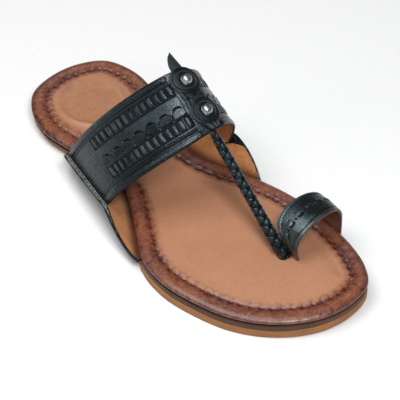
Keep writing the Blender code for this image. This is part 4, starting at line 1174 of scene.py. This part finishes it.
def makeRing():
    cut = ringCut
    footHeight = footbedTop + last["gap"]
    sides = []
    for side in (0, 1):
        line = []
        for row in cut["rows"]:
            station = cut["station"] + cut["band"] * row[3 + side]
            height = footHeight + (cut["height"] - footHeight) * row[2]
            line.append(place(row[side] * ringLeg(station), station, height))
        foot = line[-1]
        smooth = evenChain(smoothChain(line), cut["samples"])
        station = last["heelSeat"] - foot[1]
        leg = ringLeg(station)
        root = place(leg - cut["wall"] - cut["root"], station, slotMiddle)
        down = np.linspace(smooth[-1], place(leg, station, slotMiddle), cut["legRows"])[1:]
        tuckIn = np.linspace(down[-1], root, cut["rootRows"])[1:]
        sides.append(np.vstack([smooth, down, tuckIn]))
    front, rear = sides
    share = np.linspace(0.0, 1.0, cut["columns"])
    middle = (front + rear) / 2
    along = unit(np.gradient(middle, axis=0))
    width = unit(rear - front)
    outward = unit(np.cross(along, width))
    # the way out is away from a point in the middle of the loop, and stays as it is along the root
    heart = np.array([ringLeg(cut["station"]) / 2, 0.0, cut["height"] * cut["heart"]])
    flip = np.sign(((middle - heart) * outward * (1, 0, 1)).sum(-1))
    outward = outward * np.where(flip == 0, 1, flip)[:, None]
    outward[-cut["rootRows"]:] = outward[-cut["rootRows"] - 1]
    walk = walked(middle)
    total = walk[cut["samples"] - 1]
    crowned = cut["crowning"] * ease(np.minimum(walk, np.maximum(total - walk, 0)) / cut["crownRise"])
    s, w = np.meshgrid(share, walk)
    sheet = front[:, None] * (1 - share[None, :, None]) + rear[:, None] * share[None, :, None]
    sheet = sheet + outward[:, None] * (crowned[:, None] * np.sin(math.pi * share)[None])[..., None]
    breadth = np.linalg.norm(rear - front, axis=1)[:, None]
    rise, tone = ringRelief(s, w, total, breadth)
    outer = sheet + outward[:, None] * (rise * mm)[..., None]
    inner = sheet[:, ::cut["liningStep"]][:, ::-1] - outward[:, None] * cut["wall"]
    turns = np.radians(strapCut["paring"])
    sink = outward[:, None] * (cut["wall"] / 2 * (np.cos(turns) - 1.0))[:, None]
    bulge = width[:, None] * (cut["pared"] * np.sin(turns))[:, None]
    rearEdge = sheet[:, -1:] + sink + bulge
    frontEdge = (sheet[:, :1] + sink - bulge)[:, ::-1]
    rawEdge = np.array([0.0, 1.0, 1.0, 1.0, 0.0])
    piece = wrapPiece("toe_loop", [(outer, tone, 0.0), (rearEdge, 0.10, 0.0), (inner, 0.5, 1.0),
                                   (frontEdge, 0.7, rawEdge)])
    lineInside(piece, ringLeather, brownLining)
    return finishPiece(piece, [ringLeather, brownLining], ["toe_ring"])


makeRing()

# toe braid: four laces plaited round each other

braidCut = dict(footStation=0.2212, footAcross=-0.0020, kneeOut=0.0012, kneeBack=0.0034, kneeHeight=0.0055,
                repeat=0.0130, middle=0.00205, swing=0.00072, wide=0.0020, thick=0.00100, corner=0.75,
                # the plait's girth: thin at the tab, with each gain, where it starts and its length
                thin=0.68, swells=[(0.26, 0.0, 0.012), (0.16, 0.030, 0.050)], footThin=0.14, footLength=0.010,
                samples=260, sides=14)


def braidPath():
    cut = braidCut
    crown = strapSkin(float(np.interp(math.pi / 2, angles, arcs)), 1.0)
    behind = strapSkin(float(np.interp(math.pi / 2, angles, arcs)), 0.0)
    along = unit(crown - behind)
    under = unit(np.cross(along, (1.0, 0.0, 0.0)))
    under = under * -np.sign(under[2])
    start = crown + along * (last["gap"] * 3) + under * (strapCut["wall"] * 0.7)
    foot = place(cut["footAcross"], cut["footStation"], footbedTop + last["gap"])
    knee = foot + np.array([-cut["kneeOut"], cut["kneeBack"], cut["kneeHeight"]])
    points = [start, start * 2 / 3 + knee / 3, start / 3 + knee * 2 / 3, knee, foot]
    return evenChain(smoothChain(points, steps=40), cut["samples"])


def laceSide(turned):  # makes a lace's section a little squarer than an ellipse
    return np.sign(turned) * np.abs(turned) ** braidCut["corner"]


def makeBraid():
    cut = braidCut
    path = braidPath()
    walk = walked(path)
    ahead = unit(np.gradient(path, axis=0))
    sideways = unit(np.cross(ahead, (0.0, 1.0, 0.3)))
    upward = unit(np.cross(sideways, ahead))
    turn = 2 * math.pi * walk / cut["repeat"]
    taper = np.full(len(walk), cut["thin"])
    for gain, start, length in cut["swells"]:
        taper += gain * ease((walk - start) / length)
    taper -= cut["footThin"] * ease((walk - walk[-1]) / cut["footLength"] + 1.0)
    laces = []
    for way in (1, -1):
        for start in (0.0, math.pi):
            theta = way * turn + start
            radius = (cut["middle"] + way * cut["swing"] * np.cos(2 * turn)) * taper
            outward = sideways * np.cos(theta)[:, None] + upward * np.sin(theta)[:, None]
            centre = path + outward * radius[:, None]
            run = unit(np.gradient(centre, axis=0))
            flat = unit(np.cross(run, outward))
            out = unit(np.cross(flat, run))
            section = np.linspace(0.0, 2 * math.pi, cut["sides"] + 1)
            wide = (cut["wide"] * taper)[:, None] * laceSide(np.cos(section))
            thick = (cut["thick"] * taper)[:, None] * laceSide(np.sin(section))
            skin = centre[:, None] + flat[:, None] * wide[..., None] + out[:, None] * thick[..., None]
            over = 0.5 + 0.5 * way * np.cos(2 * turn)
            # painted light: the lace lying over is painted paler and the one passing under darker, a painted
            # shade, and each lace is paler on its outer face, a painted highlight
            tone = 0.12 + 0.45 * over[:, None] + 0.30 * np.sin(section)[None, :-1]
            laces.append(wrapPiece("lace", [(skin[:, :-1], tone, 0.0)]))
    piece = joinPieces("plaited_cord", laces)
    return finishPiece(piece, [cordLeather], ["toe_braid"])


makeBraid()

# studio: pale paper floor, soft light, camera at the photograph's angle

studio = dict(camera=(-0.5069, -0.62455, 0.7633), aim=(-0.0149, -0.1217, 0.0300), lens=152.0,
              world=(1.0, 1.0, 1.0), worldStrength=0.14)


def makeStudio():
    deselectAll()
    bpy.ops.mesh.primitive_plane_add(size=6.0, location=(0.0, 0.0, -0.0002))
    floor = bpy.context.object
    floor.name = "paper_floor"
    bpy.ops.object.transform_apply(location=True, rotation=True, scale=True)
    floor.data.materials.append(floorPaper())
    world = bpy.data.worlds.new("studio")
    bpy.context.scene.world = world
    world.use_nodes = True
    background = world.node_tree.nodes["Background"]
    background.inputs["Color"].default_value = (*studio["world"], 1.0)
    background.inputs["Strength"].default_value = studio["worldStrength"]
    lamps = [  # name, place, aim, size, power, colour
        ("softbox_top", (-0.40, 0.15, 1.35), (0.0, -0.09, 0.03), 0.8, 11.0, (1.0, 0.99, 0.98)),
        ("softbox_key", (-0.44, -0.84, 1.28), (0.0, -0.09, 0.03), 0.45, 17.0, (0.97, 0.99, 1.0)),
        ("softbox_left", (-1.50, 0.35, 0.55), (0.0, -0.09, 0.03), 0.7, 2.0, (1.0, 1.0, 1.0)),
    ]
    for name, spot, aim, size, power, colour in lamps:
        lamp = bpy.data.lights.new(name, "AREA")
        lamp.shape = "SQUARE"
        lamp.size = size
        lamp.energy = power
        lamp.color = colour
        holder = bpy.data.objects.new(name, lamp)
        bpy.context.scene.collection.objects.link(holder)
        holder.location = spot
        holder.rotation_euler = (Vector(aim) - Vector(spot)).to_track_quat("-Z", "Y").to_euler()
    camera = bpy.data.cameras.new("camera")
    camera.lens = studio["lens"]
    camera.sensor_width = 36.0
    camera.clip_start = 0.01
    holder = bpy.data.objects.new("camera", camera)
    bpy.context.scene.collection.objects.link(holder)
    holder.location = studio["camera"]
    sight = Vector(studio["aim"]) - Vector(studio["camera"])
    holder.rotation_euler = sight.to_track_quat("-Z", "Y").to_euler()
    bpy.context.scene.camera = holder
    bpy.context.scene.view_settings.view_transform = "Standard"
    bpy.context.scene.view_settings.look = "None"


makeStudio()
print("studio set")
